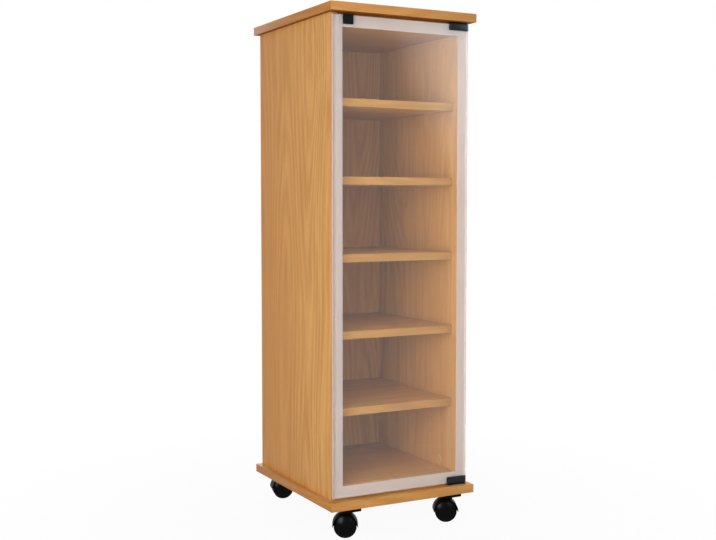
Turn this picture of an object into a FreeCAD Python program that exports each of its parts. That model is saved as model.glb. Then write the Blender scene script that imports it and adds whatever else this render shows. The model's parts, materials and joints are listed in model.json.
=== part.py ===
import FreeCAD, Part
import os
import Sketcher

# Rolling storage cabinet: a tall board carcass on four twin-wheel casters, six compartments, and
# one full-height glass door on two corner pivots. Millimetres, Z up. X runs to the viewer's right,
# the door is at the front (-Y), and the origin is on the floor under the middle of the base panel.

# Driving dimensions: alias, value and what it measures
SIZES = [
    # carcass boards
    ("plate_width", 312, "top and base panel, left to right"),
    ("plate_depth", 358, "top and base panel, front to back"),
    ("body_height", 930, "underside of the base panel to the top of the top panel"),
    ("board", 16, "thickness of the top, base and side panels"),
    ("shelf_board", 15, "thickness of the shelves"),
    ("end_board", 22, "thickness of the ceiling and floor boards"),
    ("side_overhang", 10, "top panel past the side panel, left and right"),
    ("rear_overhang", 10, "top panel past the side panel at the back"),
    ("shelf_setback", 20, "side panel's front edge to the shelf's front edge"),
    ("shelf_play", 0.5, "shelf end to side panel"),
    ("back_thick", 3, "hardboard back panel"),
    ("back_inset", 8, "back panel's rear face to the side panel's rear edge"),
    ("groove_depth", 6, "groove for the back panel"),
    ("groove_play", 0.2, "clearance on each face of the back panel"),
    ("back_play", 0.5, "clearance at the edges of the back panel"),
    # door pane
    ("glass_thick", 5, "glass pane"),
    ("glass_setback", 14, "top panel's front edge to the face of the glass"),
    ("glass_rear_gap", 4.5, "glass to the side panel's front edge"),
    ("glass_corner", 1.5, "rounding of the pane's corners"),
    # corner pivots
    ("pivot_inset", 5.5, "pivot axis to the hinge edge of the glass"),
    ("pivot_radius", 2.5, "pivot pin"),
    ("pivot_length", 9, "pivot pin beyond the clamp"),
    ("pivot_head_step", 0.6, "head of the pivot pin past its shank"),
    ("pivot_head_thick", 1, "head of the pivot pin"),
    ("pin_play", 0.05, "radial running clearance of every pin and axle"),
    ("pin_bevel", 0.5, "bevel at the end of a pin"),
    ("bush_wall", 2, "wall of the pivot bush round the pin"),
    ("bush_side_gap", 0.5, "flange of the pivot bush to the side panel"),
    ("bush_flange", 1.2, "thickness of the pivot bush's flange"),
    ("bush_floor", 1.5, "closed end of the pivot bush"),
    ("hinge_play", 0.3, "hinge clamp to the bush flange"),
    ("clamp_bridge", 3, "clamp wall over the edge of the glass"),
    ("clamp_grip", 11.5, "height of glass that the clamp covers"),
    ("clamp_width", 42, "hinge clamp along the glass"),
    ("clamp_boss_width", 20, "thick part of the rear wall, for the clamp screws"),
    ("clamp_boss_thick", 3, "thick part of the rear wall"),
    ("clamp_pad", 0.8, "pad between clamp and glass"),
    ("clamp_screw_radius", 2, "clamp screws"),
    ("clamp_screw_inset", 5, "clamp screw to the edge of its boss"),
    ("socket_radius", 1.1, "recess of a clamp screw"),
    ("socket_depth", 1.6, "recess of a clamp screw"),
    # catch
    ("clip_width", 20, "catch clip"),
    ("clip_height", 18, "catch clip, over the edge of the glass"),
    ("clip_metal", 1, "sheet of the catch clip"),
    ("clip_liner", 0.5, "liner between clip and glass"),
    ("catch_play", 0.3, "clip to pole plates with the door shut"),
    ("catch_side_gap", 1, "housing of the magnetic catch to the left side panel"),
    ("catch_rear_gap", 8.7, "housing of the magnetic catch to the ceiling board"),
    ("catch_length", 30, "housing of the magnetic catch, left to right"),
    ("catch_height", 13, "housing of the magnetic catch"),
    ("catch_screw_edge", 3.9, "catch screw to the end of the housing"),
    ("catch_screw_length", 22, "screws of the catch"),
    ("pole_reach", 1, "pole plates in front of the housing"),
    ("pole_width", 15, "pole plates and magnet"),
    ("pole_thick", 1, "pole plates"),
    ("magnet_thick", 4, "magnet"),
    ("magnet_depth", 9, "magnet, and the pole plates behind the housing's face"),
    ("pocket_play", 0.1, "magnet and pole plates in their pocket"),
    # door buffers
    ("buffer_radius", 4, "clear buffer on the side panel's front edge"),
    ("buffer_rim", 1.4, "straight part of a buffer under its dome"),
    ("buffer_play", 0.3, "buffer to the shut glass"),
    ("buffer_end", 70, "buffer to the end of the side panel"),
    # joinery
    ("peg_radius", 2.5, "shelf pin"),
    ("peg_in_side", 10, "shelf pin in the side panel"),
    ("peg_in_shelf", 8, "shelf pin in the notch of the shelf"),
    ("peg_edge", 37, "shelf pin to the front or rear edge of the shelf"),
    ("notch_play", 0.05, "shelf pin in its notch"),
    ("dowel_radius", 4, "bore of a wooden dowel"),
    ("dowel_in_plate", 10, "dowel in the top or base panel"),
    ("dowel_in_side", 22, "dowel in the side panel's end"),
    ("dowel_edge", 32, "dowel to the side panel's front or rear edge"),
    ("dowel_bevel", 1, "bevel at both ends of a dowel"),
    ("cam_edge", 64, "cam bolt to the side panel's front or rear edge"),
    ("cam_reach", 34, "cam disc's middle to the end of the side panel"),
    ("cam_radius", 7.5, "cam disc"),
    ("cam_depth", 12.5, "bore of a cam disc"),
    ("cam_cross", 6, "cross slot of a cam disc, end to end"),
    ("cam_cap_thick", 1, "cap over a cam disc"),
    ("cam_cap_lip", 1, "cap past the cam disc all round"),
    ("cam_cap_ring", 3, "inner radius of the ring under a cap"),
    ("cam_cap_bevel", 0.5, "bevel of a cap's edge"),
    ("bolt_thread_radius", 2.5, "cam bolt's thread in the plate"),
    ("bolt_thread_length", 11, "cam bolt's thread in the plate"),
    ("bolt_shank_radius", 3, "cam bolt's shank in the side panel"),
    ("bolt_neck_radius", 1.8, "cam bolt's neck, which the cam disc grips"),
    ("bolt_neck_length", 4, "cam bolt's neck"),
    ("bolt_bore_radius", 4, "bore for the cam bolt in the side panel's end"),
    ("bolt_head_length", 5, "cam bolt's end inside the cam disc"),
    ("joint_play", 0.1, "dowels, discs and bores"),
    ("screw_radius", 1.75, "bore of a wood screw"),
    ("screw_play", 0.05, "screw in its bore"),
    ("screw_point", 3.5, "taper at the end of a screw"),
    ("screw_point_radius", 1.1, "blunt end of a screw"),
    ("screw_head_radius", 3.5, "countersink of a screw's head"),
    ("screw_head_height", 2.2, "countersink of a screw's head"),
    ("screw_head_play", 0.1, "screw's head in its countersink"),
    ("cross_reach", 1.2, "half the cross recess of a screw"),
    ("cross_slot", 0.8, "width of a cross recess"),
    ("cross_depth", 1.4, "depth of a cross recess"),
    ("board_screw_length", 30, "screws of the ceiling and floor boards"),
    ("board_screw_inset", 30, "board screw to the edges of its board"),
    # casters
    ("caster_side_inset", 45, "swivel axis to the end of the base panel"),
    ("caster_edge_inset", 23, "swivel axis to the front or rear edge of the base panel"),
    ("caster_plate", 40, "square caster plate"),
    ("caster_plate_thick", 6, "caster plate"),
    ("caster_plate_corner", 4, "corner rounding of the caster plate"),
    ("caster_screw_edge", 5.5, "screw to the edges of its caster plate"),
    ("caster_screw_length", 14, "screws of a caster plate"),
    ("hood_to_plate", 4.8, "top of the fender to the caster plate"),
    ("swivel_play", 0.3, "hood under its plate, and round the kingpin's ring"),
    ("hood_boss_radius", 8.5, "boss of the hood round the kingpin"),
    ("kingpin_radius", 3.5, "kingpin"),
    ("kingpin_head_radius", 6, "kingpin's head in the plate"),
    ("kingpin_head_thick", 1.5, "kingpin's head in the plate"),
    ("kingpin_depth", 21, "kingpin in the hood"),
    ("ring_thick", 1.2, "ring that holds the hood on the kingpin"),
    ("ring_step", 0.9, "ring past the kingpin all round"),
    ("ring_groove", 0.6, "depth of the ring's groove in the kingpin"),
    ("ring_above_end", 3, "ring above the kingpin's lower end"),
    ("caster_trail", 5, "swivel axis to wheel axle, level"),
    ("wheel_radius", 21.5, "wheel"),
    ("wheel_thick", 10, "wheel at its middle"),
    ("wheel_dome", 4.5, "rise of the wheel's outer face"),
    ("wheel_edge", 1.5, "bevel of the tread's inner edge"),
    ("wheel_play", 0.4, "wheel to web"),
    ("wheel_cap", 2, "wheel's wall outside its blind bore"),
    ("axle_radius", 2.5, "axle"),
    ("axle_play", 0.3, "end of the axle to the end of the wheel's bore"),
    ("web_wall", 0.8, "web of the hood outside the ring's room"),
    ("web_lobe_radius", 8, "web round the axle"),
    ("fender_gap", 1.3, "fender to the wheel's tread"),
    ("fender_thick", 1.4, "fender"),
    ("yaw_front_left", 153, "direction of the trail of the front left caster, as photographed"),
    ("yaw_front_right", 154, "direction of the trail of the front right caster, as photographed"),
    ("yaw_rear_left", -14, "direction of the trail of the rear left caster, as photographed"),
    ("yaw_rear_right", 6, "direction of the trail of the rear right caster"),
]
SHELVES = 5

doc = FreeCAD.newDocument("cabinet")
sheet = doc.addObject("Spreadsheet::Sheet", "sizes")
for row, (alias, value, note) in enumerate(SIZES, start=1):
    sheet.set(f"A{row}", alias)
    sheet.set(f"B{row}", str(value))
    sheet.set(f"C{row}", note)
    sheet.setAlias(f"B{row}", alias)
doc.recompute()


class Length:
    """A size of the sheet, or a sum of such sizes, kept as a formula that the model is bound to."""

    def __init__(self, formula):
        self.formula = str(formula)

    def __str__(self):
        return self.formula

    def __add__(self, other):
        return Length(f"({self} + {other})")

    def __sub__(self, other):
        return Length(f"({self} - ({other}))")

    def __mul__(self, factor):
        return Length(f"({self} * ({factor}))")

    __rmul__ = __mul__

    def __truediv__(self, divisor):
        return Length(f"({self} / ({divisor}))")

    def __neg__(self):
        return Length(f"(0 - {self})")

    def number(self):
        return float(sheet.evalExpression(self.formula))


class Sizes:
    """Reads a cell of the sheet by its alias."""

    def __getattr__(self, alias):
        return Length(f"sizes.{alias}")


size = Sizes()
ZERO = Length(0)
UP = FreeCAD.Vector(0, 0, 1)

# Casters, from the floor up
hood_inner = size.wheel_radius + size.fender_gap
hood_outer = hood_inner + size.fender_thick
caster_plate_low = size.wheel_radius + hood_outer + size.hood_to_plate
boss_top = caster_plate_low - size.swivel_play
kingpin_low = boss_top - size.kingpin_depth
ring_low = kingpin_low + size.ring_above_end
ring_inner = size.kingpin_radius - size.ring_groove
ring_outer = size.kingpin_radius + size.ring_step
web_half = ring_outer + size.swivel_play + size.web_wall
wheel_inner = web_half + size.wheel_play
wheel_bore_depth = size.wheel_thick - size.wheel_cap
caster_half_width = wheel_inner + size.wheel_thick

# Main planes of the cabinet
plate_left = -size.plate_width / 2
plate_front = -size.plate_depth / 2
plate_back = size.plate_depth / 2
base_under = caster_plate_low + size.caster_plate_thick
base_top = base_under + size.board
top_over = base_under + size.body_height
top_under = top_over - size.board
side_left = plate_left + size.side_overhang
side_middle = -side_left - size.board / 2
inner_left = side_left + size.board
inner_right = -inner_left
glass_front = plate_front + size.glass_setback
glass_back = glass_front + size.glass_thick
side_front = glass_back + size.glass_rear_gap
side_back = plate_back - size.rear_overhang
side_height = top_under - base_top
shelf_front = side_front + size.shelf_setback
shelf_left = inner_left + size.shelf_play
back_front = side_back - size.back_inset - size.back_thick
board_rear = back_front - size.groove_play - size.back_play
shelf_depth = board_rear - shelf_front
floor_top = base_top + size.end_board
ceiling_under = top_under - size.end_board
compartment = (ceiling_under - floor_top - size.shelf_board * SHELVES) / (SHELVES + 1)

# Places that several pieces share
ENDS = {
    "base": {"face": base_top, "into_side": "z", "into_plate": "-z", "sign": 1},
    "top": {"face": top_under, "into_side": "-z", "into_plate": "z", "sign": -1},
}
SIDES = {
    "left": {"sign": -1, "outward": "-x", "inward": "x"},
    "right": {"sign": 1, "outward": "x", "inward": "-x"},
}
dowel_rows = (side_front + size.dowel_edge, side_back - size.dowel_edge)
cam_rows = (side_front + size.cam_edge, side_back - size.cam_edge)
peg_rows = (shelf_front + size.peg_edge, board_rear - size.peg_edge)
shelf_unders = [floor_top + compartment * (k + 1) + size.shelf_board * k for k in range(SHELVES)]
board_screw_spots = [
    (x, y)
    for x in (inner_left + size.board_screw_inset, inner_right - size.board_screw_inset)
    for y in (shelf_front + size.board_screw_inset, board_rear - size.board_screw_inset)
]
pivot_x = -side_left - size.pivot_inset
pivot_y = glass_front + size.glass_thick / 2
bush_radius = size.pivot_radius + size.bush_wall
bush_depth = size.pivot_length + size.bush_floor
glass_end_gap = size.bush_flange + size.hinge_play + size.clamp_bridge
glass_low = base_top + glass_end_gap
glass_high = top_under - glass_end_gap
clip_cover = size.clip_liner + size.clip_metal
catch_left = inner_left + size.catch_side_gap
catch_x = catch_left + size.catch_length / 2
catch_front = glass_back + clip_cover + size.catch_play + size.pole_reach
catch_depth = shelf_front - size.catch_rear_gap - catch_front
catch_screw_spots = [
    (x, catch_front + catch_depth / 2)
    for x in (
        catch_left + size.catch_screw_edge,
        catch_left + size.catch_length - size.catch_screw_edge,
    )
]
caster_x = size.plate_width / 2 - size.caster_side_inset
caster_y = size.plate_depth / 2 - size.caster_edge_inset
caster_axes = {
    "front_left": (-caster_x, -caster_y),
    "front_right": (caster_x, -caster_y),
    "rear_left": (-caster_x, caster_y),
    "rear_right": (caster_x, caster_y),
}
caster_screw_reach = size.caster_plate / 2 - size.caster_screw_edge
caster_screw_offsets = [(caster_screw_reach * i, caster_screw_reach * j) for i in (-1, 1) for j in (-1, 1)]
caster_screw_spots = [
    (x + dx, y + dy) for x, y in caster_axes.values() for dx, dy in caster_screw_offsets
]


# Helpers for features whose sizes are bound to the sheet
def turn(axis):
    """Rotation that lays a thing made along Z onto another axis."""
    turns = {
        "z": FreeCAD.Rotation(),
        "-z": FreeCAD.Rotation(FreeCAD.Vector(1, 0, 0), 180),
        "x": FreeCAD.Rotation(FreeCAD.Vector(0, 1, 0), 90),
        "-x": FreeCAD.Rotation(FreeCAD.Vector(0, 1, 0), -90),
        "y": FreeCAD.Rotation(FreeCAD.Vector(1, 0, 0), -90),
        "-y": FreeCAD.Rotation(FreeCAD.Vector(1, 0, 0), 90),
    }
    return turns[axis]


def place(thing, spot, rotation):
    thing.Placement = FreeCAD.Placement(FreeCAD.Vector(), rotation)
    for letter, length in zip("xyz", spot):
        thing.setExpression(f"Placement.Base.{letter}", str(length))
    return thing


def block(name, corner, extent):
    thing = doc.addObject("Part::Box", name)
    for prop, length in zip(("Length", "Width", "Height"), extent):
        thing.setExpression(prop, str(length))
    return place(thing, corner, turn("z"))


def rod(name, foot, radius, length, axis="z"):
    thing = doc.addObject("Part::Cylinder", name)
    thing.setExpression("Radius", str(radius))
    thing.setExpression("Height", str(length))
    return place(thing, foot, turn(axis))


def countersink(foot, axis):
    """Cone that a countersunk head sits in, from its face inwards."""
    thing = doc.addObject("Part::Cone", "sink")
    thing.setExpression("Radius1", str(size.screw_head_radius))
    thing.setExpression("Radius2", str(size.screw_radius))
    thing.setExpression("Height", str(size.screw_head_height))
    return place(thing, foot, turn(axis))


def joined(name, pieces):
    thing = doc.addObject("Part::MultiFuse", name)
    thing.Shapes = pieces
    return thing


def cut(name, base, tools):
    """Base less its tools, which may be many."""
    thing = doc.addObject("Part::Cut", name)
    thing.Base = base
    thing.Tool = tools[0] if len(tools) == 1 else joined(f"{name}_cuts", tools)
    return thing


def group(label, pieces):
    thing = doc.addObject("Part::Compound", label)
    thing.Links = pieces
    return thing


def link_to(master, name, spot, rotation):
    """The master once more, carried from where it is by a turn and a shift."""
    link = doc.addObject("App::Link", name)
    link.LinkedObject = master
    link.LinkTransform = True
    return place(link, spot, rotation)


def copies(label, master, spots, axis="z"):
    """One group of separate solids: the master set down at each spot."""
    links = []
    for count, spot in enumerate(spots, start=1):
        links.append(link_to(master, f"{label}_{count}", spot, turn(axis)))
    return group(label, links)


def new_sketch(body, role, name):
    sketch = body.newObject("Sketcher::SketchObject", name)
    planes = {feature.Role: feature for feature in body.Origin.OriginFeatures}
    sketch.AttachmentSupport = [(planes[role], "")]
    sketch.MapMode = "FlatFace"
    return sketch


def fix_point(sketch, element, spot):
    """Ties the start of an element to a pair of lengths from the sketch's origin."""
    for kind, axis, length in (("DistanceX", -2, spot[0]), ("DistanceY", -1, spot[1])):
        if length.number() == 0:
            sketch.addConstraint(Sketcher.Constraint("PointOnObject", element, 1, axis))
        else:
            rule = Sketcher.Constraint(kind, -1, 1, element, 1, length.number())
            index = sketch.addConstraint(rule)
            sketch.setExpression(f"Constraints[{index}]", str(length))


def dome_arc(start, end):
    """Arc from a rim point up to a point on the vertical axis, centred on that axis."""
    rise = end.y - start.y
    centre_y = (end.y ** 2 - start.y ** 2 - start.x ** 2) / (2 * rise)
    centre = FreeCAD.Vector(0, centre_y, 0)
    circle = Part.Circle(centre, UP, (end - centre).Length)
    return Part.ArcOfCircle(circle, circle.parameter(start), circle.parameter(end))


def draw_outline(sketch, corners, dome=None):
    """Closed outline through the corners, with straight sides and at most one dome.

    The dome is the number of the side that is an arc: from its corner up to the vertical axis.
    """
    spots = [FreeCAD.Vector(x.number(), y.number(), 0) for x, y in corners]
    count = len(corners)
    for index in range(count):
        ends = (spots[index], spots[(index + 1) % count])
        sketch.addGeometry(dome_arc(*ends) if index == dome else Part.LineSegment(*ends), False)
    for index in range(count):
        sketch.addConstraint(Sketcher.Constraint("Coincident", index, 2, (index + 1) % count, 1))
    for index, corner in enumerate(corners):
        fix_point(sketch, index, corner)
    if dome is not None:
        sketch.addConstraint(Sketcher.Constraint("PointOnObject", dome, 3, -2))


def turned(name, corners, dome=None):
    """Body turned round its Z axis from an outline of (radius, height) corners."""
    body = doc.addObject("PartDesign::Body", name)
    sketch = new_sketch(body, "XZ_Plane", f"{name}_profile")
    draw_outline(sketch, corners, dome)
    revolution = body.newObject("PartDesign::Revolution", f"{name}_turned")
    revolution.Profile = sketch
    revolution.ReferenceAxis = (sketch, ["V_Axis"])
    revolution.Angle = 360
    return body


def padded(name, corners, height, role="XY_Plane"):
    """Body padded from an outline, up from the XY plane or back from the XZ plane."""
    body = doc.addObject("PartDesign::Body", name)
    sketch = new_sketch(body, role, f"{name}_outline")
    draw_outline(sketch, corners)
    pad = body.newObject("PartDesign::Pad", f"{name}_pad")
    pad.Profile = sketch
    pad.Reversed = role == "XZ_Plane"
    pad.setExpression("Length", str(height))
    return body


def rectangle(left, low, right, high):
    return [(left, low), (right, low), (right, high), (left, high)]


def edges_along(shape, direction):
    """Names of the straight edges that run along a direction."""
    names = []
    for index, edge in enumerate(shape.Edges, start=1):
        if isinstance(edge.Curve, Part.Line) and edge.Curve.Direction.cross(direction).Length < 1e-6:
            names.append(f"Edge{index}")
    return names


def round_edges(body, direction, radius):
    """Rounds every straight edge of a body that runs along a direction."""
    doc.recompute()
    tip = body.Tip
    fillet = body.newObject("PartDesign::Fillet", f"{body.Name}_round")
    fillet.Base = (tip, edges_along(tip.Shape, direction))
    fillet.setExpression("Radius", str(radius))


nodes = []


def keep(thing, label):
    """Counts a finished sub-part, under the name that its file gets."""
    thing.Label = label
    nodes.append(thing)


# Boards
def plate_bores(end):
    """Bores of the top or base panel: dowels, cam bolts, pivot bush and board screws."""
    face = ENDS[end]["face"]
    inward = ENDS[end]["into_plate"]
    tools = []
    for side in SIDES.values():
        x = side_middle * side["sign"]
        for y in dowel_rows:
            depth = size.dowel_in_plate + size.joint_play
            tools.append(rod("bore", (x, y, face), size.dowel_radius, depth, inward))
        for y in cam_rows:
            depth = size.bolt_thread_length
            tools.append(rod("bore", (x, y, face), size.bolt_thread_radius, depth, inward))
    tools.append(rod("bore", (pivot_x, pivot_y, face), bush_radius, bush_depth, inward))
    for x, y in board_screw_spots:
        depth = size.board_screw_length - size.end_board
        tools.append(rod("bore", (x, y, face), size.screw_radius, depth, inward))
    return tools


def make_plates():
    """Base panel with the casters' screw bores, and top panel with the catch's."""
    extent = (size.plate_width, size.plate_depth, size.board)
    base_bores = plate_bores("base")
    depth = size.caster_screw_length - size.caster_plate_thick
    for x, y in caster_screw_spots:
        base_bores.append(rod("bore", (x, y, base_under), size.screw_radius, depth))
    base = block("base_board", (plate_left, plate_front, base_under), extent)
    keep(cut("base_panel", base, base_bores), "base_panel")
    top_bores = plate_bores("top")
    depth = size.catch_screw_length - size.catch_height
    for x, y in catch_screw_spots:
        top_bores.append(rod("bore", (x, y, top_under), size.screw_radius, depth))
    top = block("top_board", (plate_left, plate_front, top_under), extent)
    keep(cut("top_panel", top, top_bores), "top_panel")


def make_side(name):
    """Side panel with its groove, end bores, cam bores and shelf pin holes."""
    side = SIDES[name]
    outward = side["outward"]
    inner = inner_right * side["sign"]
    outer = side_left if name == "left" else inner_right
    groove_left = inner_left - size.groove_depth if name == "left" else inner_right
    extent = (size.board, side_back - side_front, side_height)
    board = block(f"{name}_board", (outer, side_front, base_top), extent)
    groove_spot = (groove_left, back_front - size.groove_play, base_top)
    groove_extent = (size.groove_depth, size.back_thick + size.groove_play * 2, side_height)
    tools = [block("groove", groove_spot, groove_extent)]
    middle = side_middle * side["sign"]
    for end in ENDS.values():
        face = end["face"]
        into = end["into_side"]
        for y in dowel_rows:
            depth = size.dowel_in_side + size.joint_play
            tools.append(rod("bore", (middle, y, face), size.dowel_radius, depth, into))
        for y in cam_rows:
            tools.append(rod("bore", (middle, y, face), size.bolt_bore_radius, size.cam_reach, into))
            disc = (inner, y, face + size.cam_reach * end["sign"])
            radius = size.cam_radius + size.joint_play
            tools.append(rod("bore", disc, radius, size.cam_depth, outward))
    for under in shelf_unders:
        for y in peg_rows:
            spot = (inner, y, under + size.peg_radius)
            tools.append(rod("bore", spot, size.peg_radius, size.peg_in_side, outward))
    keep(cut(f"side_panel_{name}", board, tools), f"side_panel_{name}")


def make_end_boards():
    """Ceiling and floor board, each with four countersunk screw holes."""
    extent = (-shelf_left * 2, shelf_depth, size.end_board)
    for label, low, face, outward in (
        ("floor_board", base_top, floor_top, "-z"),
        ("ceiling_board", ceiling_under, ceiling_under, "z"),
    ):
        board = block(f"{label}_blank", (shelf_left, shelf_front, low), extent)
        tools = []
        for x, y in board_screw_spots:
            tools.append(rod("bore", (x, y, face), size.screw_radius, size.end_board, outward))
            tools.append(countersink((x, y, face), outward))
        keep(cut(label, board, tools), label)


def make_shelves():
    """Shelves, numbered from the bottom, with a notch over each shelf pin."""
    extent = (-shelf_left * 2, shelf_depth, size.shelf_board)
    notch_wide = (size.peg_radius + size.notch_play) * 2
    notch_high = size.peg_radius * 2 + size.notch_play
    notch_long = size.peg_in_shelf + size.notch_play
    for number, under in enumerate(shelf_unders, start=1):
        board = block("shelf_blank", (shelf_left, shelf_front, under), extent)
        tools = []
        for left in (inner_left, inner_right - notch_long):
            for y in peg_rows:
                spot = (left, y - notch_wide / 2, under)
                tools.append(block("notch", spot, (notch_long, notch_wide, notch_high)))
        keep(cut(f"shelf_{number}", board, tools), f"shelf_{number}")


def make_back_panel():
    left = inner_left - size.groove_depth + size.back_play
    corner = (left, back_front, base_top + size.back_play)
    extent = (-left * 2, size.back_thick, side_height - size.back_play * 2)
    keep(block("back_panel", corner, extent), "back_panel")


# Joinery
def make_shelf_pins():
    length = size.peg_in_side + size.peg_in_shelf
    pin = rod("shelf_pin", (ZERO, ZERO, ZERO), size.peg_radius, length)
    lefts = [
        (inner_left - size.peg_in_side, y, under + size.peg_radius)
        for under in shelf_unders
        for y in peg_rows
    ]
    rights = [(inner_right - size.peg_in_shelf, y, z) for x, y, z in lefts]
    keep(copies("shelf_pins", pin, lefts + rights, "x"), "shelf_pins")


def make_dowels():
    """Wooden dowels with a bevel at both ends, half in a plate and half in a side panel."""
    length = size.dowel_in_plate + size.dowel_in_side
    radius = size.dowel_radius - size.joint_play
    bevel = size.dowel_bevel
    dowel = turned("dowel", [
        (ZERO, ZERO),
        (radius - bevel, ZERO),
        (radius, bevel),
        (radius, length - bevel),
        (radius - bevel, length),
        (ZERO, length),
    ])
    spots = []
    for end in ENDS.values():
        foot = end["face"] - (size.dowel_in_plate if end["sign"] > 0 else size.dowel_in_side)
        spots += [(side_middle * side["sign"], y, foot) for side in SIDES.values() for y in dowel_rows]
    keep(copies("dowels", dowel, spots), "dowels")


def cam_bolt():
    """Bolt along +Z with its thread below the origin and its waisted head in the cam disc."""
    head_start = size.cam_reach - size.bolt_head_length
    neck_start = head_start - size.bolt_neck_length
    tip = size.cam_reach - size.joint_play
    return turned("cam_bolt", [
        (ZERO, -size.bolt_thread_length),
        (size.bolt_thread_radius, -size.bolt_thread_length),
        (size.bolt_thread_radius, ZERO),
        (size.bolt_shank_radius, ZERO),
        (size.bolt_shank_radius, neck_start),
        (size.bolt_neck_radius, neck_start),
        (size.bolt_neck_radius, head_start),
        (size.bolt_shank_radius, head_start),
        (size.bolt_shank_radius, tip),
        (ZERO, tip),
    ])


def cam_disc():
    """Cam disc along +Z from its face, with the slot that takes the cam bolt from -X."""
    inset = size.joint_play + size.cam_cap_thick
    length = size.cam_depth - inset - size.joint_play
    drum = rod("cam_drum", (ZERO, ZERO, inset), size.cam_radius, length)
    slot_radius = size.bolt_shank_radius + size.joint_play * 2
    slot_start = (-size.cam_radius * 2, ZERO, size.board / 2)
    slot_length = size.cam_radius * 2 + size.joint_play
    slot = rod("cam_slot", slot_start, slot_radius, slot_length, "x")
    corner = (-size.cam_cross / 2, -size.cross_slot / 2, inset)
    cross = block("cam_cross", corner, (size.cam_cross, size.cross_slot, size.cross_depth))
    return cut("cam_disc", drum, [slot, cross])


def cam_cap():
    """Cap along +Z on the side panel's face, with a ring that grips the cam disc's bore."""
    thick = size.cam_cap_thick
    radius = size.cam_radius + size.cam_cap_lip
    ring_radius = size.cam_cap_ring + thick
    return turned("cam_cap", [
        (ZERO, ZERO),
        (size.cam_cap_ring, ZERO),
        (size.cam_cap_ring, -thick),
        (ring_radius, -thick),
        (ring_radius, ZERO),
        (radius, ZERO),
        (radius, thick - size.cam_cap_bevel),
        (radius - size.cam_cap_bevel, thick),
        (ZERO, thick),
    ])


def disc_turn(side, end):
    """Turns a cam disc's axis into the side panel and its slot towards the panel's end."""
    along = FreeCAD.Vector(side["sign"], 0, 0)
    slot = FreeCAD.Vector(0, 0, end["sign"])
    return FreeCAD.Rotation(slot, along.cross(slot), along, "ZXY")


def make_cams():
    """Cam bolts screwed into the plates, the discs that draw them in, and the discs' caps."""
    masters = {"cam_bolts": cam_bolt(), "cam_discs": cam_disc(), "cam_caps": cam_cap()}
    links = {label: [] for label in masters}

    def add(label, spot, rotation):
        name = f"{label}_{len(links[label]) + 1}"
        links[label].append(link_to(masters[label], name, spot, rotation))

    for end in ENDS.values():
        height = end["face"] + size.cam_reach * end["sign"]
        for side in SIDES.values():
            for y in cam_rows:
                face = (inner_right * side["sign"], y, height)
                add("cam_bolts", (side_middle * side["sign"], y, end["face"]), turn(end["into_side"]))
                add("cam_discs", face, disc_turn(side, end))
                add("cam_caps", face, turn(side["inward"]))
    for label, pieces in links.items():
        keep(group(label, pieces), label)


def countersunk_screw(name, length):
    """Wood screw along -Z: a countersunk head with its face at the origin, and a cross recess."""
    shank = size.screw_radius - size.screw_play
    blank = turned(f"{name}_blank", [
        (ZERO, -length),
        (size.screw_point_radius, -length),
        (shank, -length + size.screw_point),
        (shank, -size.screw_head_height),
        (size.screw_head_radius - size.screw_head_play, ZERO),
        (ZERO, ZERO),
    ])
    reach = size.cross_reach
    half = size.cross_slot / 2
    depth = size.cross_depth
    bars = [
        block("arm", (-reach, -half, -depth), (reach * 2, half * 2, depth)),
        block("arm", (-half, -reach, -depth), (half * 2, reach * 2, depth)),
    ]
    return cut(name, blank, bars)


def make_screws():
    screw = countersunk_screw("board_screw", size.board_screw_length)
    links = []
    for count, (x, y) in enumerate(board_screw_spots):
        links.append(link_to(screw, f"floor_screw_{count}", (x, y, floor_top), turn("z")))
        links.append(link_to(screw, f"ceiling_screw_{count}", (x, y, ceiling_under), turn("-z")))
    keep(group("board_screws", links), "board_screws")
    screw = countersunk_screw("caster_screw", size.caster_screw_length)
    spots = [(x, y, caster_plate_low) for x, y in caster_screw_spots]
    keep(copies("caster_screws", screw, spots, "-z"), "caster_screws")
    screw = countersunk_screw("catch_screw", size.catch_screw_length)
    spots = [(x, y, top_under - size.catch_height) for x, y in catch_screw_spots]
    keep(copies("catch_screws", screw, spots, "-z"), "catch_screws")


# Door
def make_glass():
    """Pane with rounded corners, between the two plates."""
    corners = rectangle(side_left, glass_low, -side_left, glass_high)
    body = padded("glass_pane", corners, size.glass_thick, "XZ_Plane")
    round_edges(body, FreeCAD.Vector(0, 1, 0), size.glass_corner)
    body.setExpression("Placement.Base.y", str(glass_front))
    keep(body, "glass_pane")


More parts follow.
